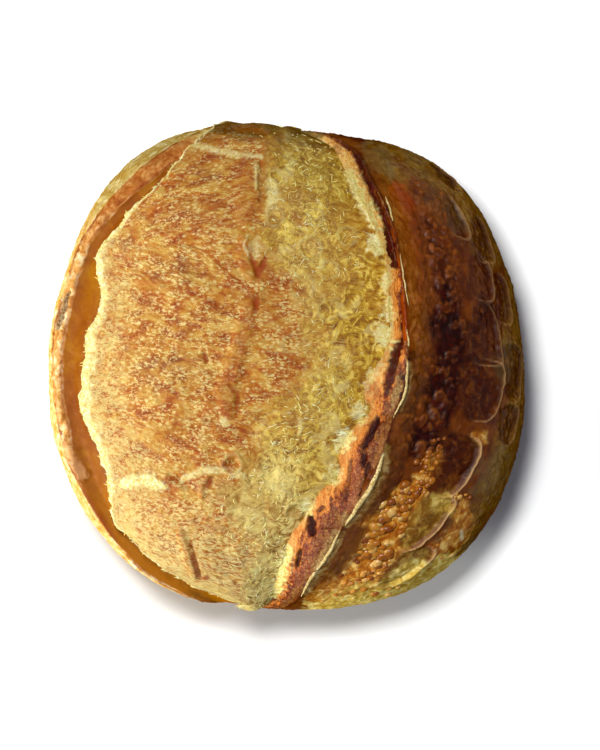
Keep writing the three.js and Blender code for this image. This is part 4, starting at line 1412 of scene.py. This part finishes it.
# %% The pale part, with curls and patches of toffee, and both parts together
thread = pattern(tree, place, 5.5, 9, 1.6, (1, 1, 1), 0.68)
wet = ramp(tree, thread, (0.39, "#6b3b01"), (0.455, "#8d6004"), (0.50, "#a07810"),
           (0.545, "#b19124"), (0.61, "#d9bf5b"))
wet = lay(tree, wet, "#d6ca8b", mask(tree, "creamy"), level(tree, thread, 0.42, 0.54), 0.75)
wet = lay(tree, wet, "#d9c477", mask(tree, "fluffy"), level(tree, thread, 0.42, 0.52), 0.6)
wet = lay(tree, wet, "#915709", level(tree, patches, 0.48, 0.62), 0.45)
for size, share in ((3.4, 0.7), (1.9, 0.8)):
    curls = level(tree, pattern(tree, place, size, 2, 2.2), 0.44, 0.56)
    curl_band = ramp(tree, curls, (0.2, "#000000"), (0.5, "#ffffff"), (0.8, "#000000"))
    wet = lay(tree, wet, "#d9cb7a", curl_band, mask(tree, "curly"), share)
toffee = pattern(tree, place, 13, 4, 0.6, (1, 1, 1), 0.6)
wet = lay(tree, wet, "#7f5004", level(tree, toffee, 0.53, 0.64), 0.45)
wet = lay(tree, wet, "#d6c880", level(tree, toffee, 0.45, 0.36), 0.45)
lines = pattern(tree, flow, 1.0, 2, 0.2, (22, 0.8, 1))
wet = lay(tree, wet, "#b39b47", level(tree, lines, 0.5, 0.68), 0.5)
felt = pattern(tree, place, 1.4, 5, 0.6, (1, 1, 1), 0.7)
felt_tint = ramp(tree, felt, (0.36, "#b08e3c"), (0.46, "#ccbb6f"), (0.54, "#d6cd91"),
                 (0.62, "#d9d7b4"))
colour = lay(tree, wet, toasted, mask(tree, "brown"))
# The tip layer is partly browning and partly painted shade.
colour = lay_masks(tree, colour, ("tip", 0.8, "#4a3105"), ("hollow", 0.5, "#8b4d0f"),
                   ("rims", 0.5, "#b0a369"))
colour = lay(tree, colour, felt_tint, mask(tree, "torn"))
colour = lay(tree, colour, "#88310c", mask(tree, "red"), 0.8)
height = add(tree, "Math", {0: grain, 1: thread}, operation="ADD").outputs[0]
finish_with(tree, colour, height, 0.85, 0.42, 0.16, Subsurface_Weight=0.1,
            Subsurface_Scale=0.0015, Subsurface_Radius=(1.0, 0.5, 0.2))

# %% [markdown]
# ## Glassy crust
# Dough that fermented cold blisters, and its sugars bake to a thin dark glaze. The eye sees
# olive-brown to maroon with soft gleams. Broad marks come first, the small blisters next, and
# the pale rims and the dusted foot last, because they lie on top.

# %% The crust of the right side: glassy, olive-brown to maroon
side_finish, tree, place = new_material("glassy_crust")
broad = pattern(tree, place, 13, 5, 0.4)
middle = pattern(tree, place, 5, 8, 0.8, (1, 1, 1), 0.7)
orange_tint = ramp(tree, middle, (0.38, "#8d4208"), (0.46, "#a86416"), (0.54, "#c0862e"),
                   (0.62, "#e9c470"))
colour = mottle(tree, broad, "#3f1502", "#532405", "#683409", 0.36, 0.64)
colour = lay_masks(
    tree, colour,
    ("olive", 0.9, mottle(tree, middle, "#513005", "#69460b", "#7e5d1b")),
    ("amber", 1.0, mottle(tree, broad, "#611f01", "#762c01", "#8f3f04", 0.34, 0.66)),
    ("shade", 0.6, "#683f0c"), ("orange", 1.0, orange_tint),
    # partly dark bake, partly painted shade
    ("maroon", 0.97, mottle(tree, middle, "#120101", "#1f0201", "#3a0902")),
    # the blisters' lighter rims are partly a painted highlight
    ("scales", 0.3, "#753405"), ("small", 0.3, "#753a0b"), ("scale_rim", 0.6, "#8d4d14"),
    ("dish", 0.65, mottle(tree, middle, "#260501", "#3d1303", "#653607")),
    # painted shade inside the leaf cuts
    ("crescent", 0.7, "#270801"),
    ("gold", 0.55, mottle(tree, middle, "#75450c", "#946b20", "#b99b42")),
    # the grey veil is painted sheen
    ("haze", 0.35, "#736b42"), ("rim", 0.95, "#e2b478"), ("white", 0.8, "#c3b994"),
    ("pale_foot", 0.9, mottle(tree, middle, "#a58025", "#cbad4b", "#e6d687", 0.38, 0.6)),
    ("pale_back", 0.9, mottle(tree, middle, "#6e4916", "#9b7e40", "#bdac75", 0.38, 0.6)),
    # painted light on the ear's outer face
    ("outer_face", 0.75, mottle(tree, middle, "#763e0a", "#925113", "#ab6e26")))
finish_with(tree, colour, middle, 0.6, 0.32, 0.14)

# %% [markdown]
# ## Golden crust
# The basket's flour still dusts this skin, so it is dry and matt: pale gold on the shoulder,
# darker where it lay on the hearth, and brown in the groove, which no flour reached.

# %% The crust of the base and the left side: matt, golden and dusty
base_finish, tree, place = new_material("golden_crust")
broad = pattern(tree, place, 16, 5, 0.4)
middle = pattern(tree, place, 4.5, 8, 0.5, (1, 1, 1), 0.72)
grit = pattern(tree, place, 1.2, 3)
floury_tint = ramp(tree, middle, (0.38, "#af7629"), (0.47, "#c89d50"), (0.54, "#d6b676"),
                   (0.62, "#e0d2ab"))
yellow_tint = ramp(tree, middle, (0.38, "#836a27"), (0.48, "#99813a"), (0.56, "#a99856"),
                   (0.64, "#bcb37d"))
lip_tint = ramp(tree, middle, (0.38, "#905a20"), (0.46, "#bd853e"), (0.54, "#cfa86c"),
                (0.62, "#ddcba1"))
colour = mottle(tree, broad, "#6b4017", "#7d5220", "#90672d", 0.35, 0.65)
colour = lay_masks(
    tree, colour, ("floury", 1.0, floury_tint),
    ("hearth", 0.8, ramp(tree, middle, (0.38, "#542f10"), (0.62, "#835e32"))),
    ("groove", 1.0, mottle(tree, broad, "#723702", "#804603", "#8c5807", 0.35, 0.65)),
    # the lighter layer at the groove's south end is painted light
    ("low_groove", 0.9, "#9a5e08"), ("yellow", 0.75, yellow_tint), ("lip", 1.0, lip_tint),
    ("ridge", 0.9, mottle(tree, middle, "#803b0c", "#97551a", "#ae7933")),
    # the dark layer along the crumb's wall is painted shade
    ("red_line", 0.85, "#732a05"), ("under_wall", 0.85, "#462a02"),
    ("charred", 0.9, mottle(tree, grit, "#462a17", "#6d5337", "#938060", 0.42, 0.6)),
    ("scuffed", 0.45, "#c49668"))
finish_with(tree, colour, middle, 0.7, 0.45, 0.1, Subsurface_Weight=0.06, Subsurface_Scale=0.002)

# %% [markdown]
# ## Torn face of the ear
# Torn dough is rough and dry, and its thin edge scorches first. One ramp over the height of the
# face does most of it, from cream at the foot to crimson under the crest, and a noise shifts
# that height so that no line runs straight.

# %% The ear: rough, orange below and burnt at the crest
ear_finish, tree, place = new_material("torn_ear_face")
middle = pattern(tree, place, 3.2, 7, 0.6, (0.7, 1.8, 1), 0.7)
grit = pattern(tree, place, 1.1, 5, 0.4, (1, 1, 1), 0.7)
shift = add(tree, "MapRange", {0: middle, 1: 0.35, 2: 0.65, 3: -0.3, 4: 0.3}).outputs[0]
height_up = add(tree, "Math", {0: mask(tree, "way"), 1: shift}, operation="ADD").outputs[0]
fluff_tint = ramp(tree, grit, (0.36, "#ad8830"), (0.46, "#c8b460"), (0.54, "#d2c87e"),
                  (0.62, "#d5d2a3"))
burnt_tint = ramp(tree, middle, (0.36, "#1e0204"), (0.55, "#370606"), (0.66, "#5b180c"))
colour = ramp(tree, height_up, (0.02, "#cfb77e"), (0.16, "#cc9c56"), (0.36, "#c27e37"),
              (0.56, "#b46a26"), (0.72, "#732a0f"), (0.86, "#430909"), (1.0, "#734318"))
colour = lay(tree, colour, "#b38643", level(tree, grit, 0.5, 0.66), 0.5)
colour = lay(tree, colour, "#4f1506", level(tree, grit, 0.48, 0.34), 0.5)
colour = lay_masks(
    tree, colour,
    ("upper", 0.75, mottle(tree, grit, "#c27628", "#d5a550", "#d5d190", 0.36)),
    ("mauve", 0.7, mottle(tree, grit, "#612413", "#7d3d21", "#986742", 0.36)),
    ("pale", 0.7, ramp(tree, grit, (0.38, "#67431b"), (0.6, "#9b834f"))),
    ("burnt", 0.95, burnt_tint), ("fluff", 1.0, fluff_tint), ("slots", 0.6, "#180405"),
    ("capped", 0.85, ramp(tree, middle, (0.38, "#43330c"), (0.6, "#675521"))))
finish_with(tree, colour, grit, 0.5, 0.45, 0.16, Subsurface_Weight=0.06, Subsurface_Scale=0.002)

# %% [markdown]
# ## Small finishes
# A blade is crust too thin to brown, so it is pale and matt. A bead is a skin of dried starch
# over a bubble, glassy and amber, and light passes through it. A strand is dried gluten, cream
# and faintly glossy.

# %% Blades, beads and strands
blade_finish, tree, place = new_material("pale_crust_edge")
grit = pattern(tree, place, 0.9, 3)
blade_tint = mottle(tree, grit, "#917035", "#b29b60", "#c2b584", 0.35, 0.6)
finish_with(tree, blade_tint, grit, 0.2, 0.5, 0.2)

bead_finish, tree, place = new_material("glassy_bead")
tone = ramp(tree, mask(tree, "tone"), (0.0, "#6f3408"), (0.3, "#93540b"), (0.6, "#b0731e"),
            (1.0, "#c7a059"))
finish_with(tree, tone, pattern(tree, place, 0.9, 2), 0.1, 0.3, 0.4, Subsurface_Weight=0.25,
            Subsurface_Scale=0.0015, Subsurface_Radius=(1.0, 0.6, 0.25))

strand_finish, tree, place = new_material("dried_gluten")
tint = mottle(tree, pattern(tree, place, 9, 3), "#d1b861", "#e0d589", "#e6e2b8", 0.35, 0.65)
finish_with(tree, tint, pattern(tree, place, 0.8, 2), 0.05, 0.4, 0.2, Subsurface_Weight=0.2,
            Subsurface_Scale=0.001)

# %% Hand each piece its finish and its body, and hide the imported loaf
PIECES = ((crumb, crumb_finish, "crumb"), (crust_side, side_finish, "crust"),
          (crust_base, base_finish, "crust"), (ear_face, ear_finish, "ear"),
          (ear_blades, blade_finish, "ear"), (beads, bead_finish, "crust"),
          (strands, strand_finish, "crumb"), (torn_fibres, strand_finish, "crumb"))
for piece, finish, slot in PIECES:
    piece.data.materials.append(finish)
    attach(piece, "root")
    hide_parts("loaf")
print("pieces handed over:", len(PIECES))

# %% [markdown]
# ## Floor, light and camera
# The loaf rests on matt white paper. A soft lamp high at the upper left gives the short
# shadow, a lower one at the left picks out the grain, and the camera looks straight down.

# %% Floor
FLOOR = 4.0  # metres from the middle to an edge
corners = [(-FLOOR, -FLOOR, 0), (FLOOR, -FLOOR, 0), (FLOOR, FLOOR, 0), (-FLOOR, FLOOR, 0)]
floor_mesh = bpy.data.meshes.new("floor")
floor_mesh.from_pydata(corners, [], [(0, 1, 2, 3)])
floor = bpy.data.objects.new("floor", floor_mesh)
bpy.context.scene.collection.objects.link(floor)
floor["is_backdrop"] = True
floor_finish, tree, place = new_material("matt_paper")
shader = add(tree, "BsdfPrincipled", {"Base Color": linear("#f2f5f8"), "Roughness": 0.9})
add(tree, "OutputMaterial", {"Surface": shader.outputs[0]})
floor.data.materials.append(floor_finish)

# %% Light
world = bpy.data.worlds.new("studio")
bpy.context.scene.world = world
world.use_nodes = True
background = world.node_tree.nodes["Background"]
background.inputs["Color"].default_value = linear("#d8e4ff")
background.inputs["Strength"].default_value = 0.11


def area_light(name, bearing, elevation, distance, size, watts, colour):
    """A square lamp at a bearing and an elevation in degrees, turned to face the loaf."""
    lamp = bpy.data.lights.new(name, "AREA")
    lamp.size, lamp.energy, lamp.color = size, watts, linear(colour)[:3]
    holder = bpy.data.objects.new(name, lamp)
    flat = distance * math.cos(math.radians(elevation))
    middle = (cad_low + cad_high) / 2
    holder.location = (middle.x + flat * math.cos(math.radians(bearing)),
                       middle.y + flat * math.sin(math.radians(bearing)),
                       middle.z + distance * math.sin(math.radians(elevation)))
    holder.rotation_euler = (holder.location - middle).to_track_quat("Z", "Y").to_euler()
    bpy.context.scene.collection.objects.link(holder)
    print(name, "watts:", watts)


LAMP_DISTANCE = 1.6
area_light("high_lamp", 121, 76, LAMP_DISTANCE, 0.36, 31, "#fffcf8")
area_light("low_lamp", 206, 7.5, LAMP_DISTANCE, 0.45, 37, "#fffcf4")
area_light("fill_lamp", 300, 60, LAMP_DISTANCE, 1.2, 1, "#e8f0ff")

# %% Camera
PIXEL = 230 / 475 * MM  # metres for each pixel of the render, on the plane of the waist
RENDER_SIZE = 600, 750  # pixels
AXIS_AT = 286.5, 366.5  # pixel over which the loaf's own axis lies, from the top left
SENSOR = 36
CAMERA_HEIGHT = 2.5
camera_data = bpy.data.cameras.new("camera")
camera = bpy.data.objects.new("camera", camera_data)
bpy.context.scene.collection.objects.link(camera)
bpy.context.scene.camera = camera
camera_data.sensor_fit = "VERTICAL"
camera_data.sensor_height = SENSOR
camera_data.lens = SENSOR * (CAMERA_HEIGHT - WAIST_HEIGHT * MM) / (RENDER_SIZE[1] * PIXEL)
camera.location = ((RENDER_SIZE[0] / 2 - AXIS_AT[0]) * PIXEL,
                   (AXIS_AT[1] - RENDER_SIZE[1] / 2) * PIXEL, CAMERA_HEIGHT)
bpy.context.scene.view_settings.view_transform = "Standard"
print("lens, mm:", round(camera_data.lens, 1))

# %% Bounds of the shown loaf, kept beside those of the imported box
visual_low, visual_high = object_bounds()
sizes = {"cad": [list(cad_low), list(cad_high)], "visual": [list(visual_low), list(visual_high)]}
print("shown loaf, mm:", [round(side / MM, 1) for side in visual_high - visual_low])
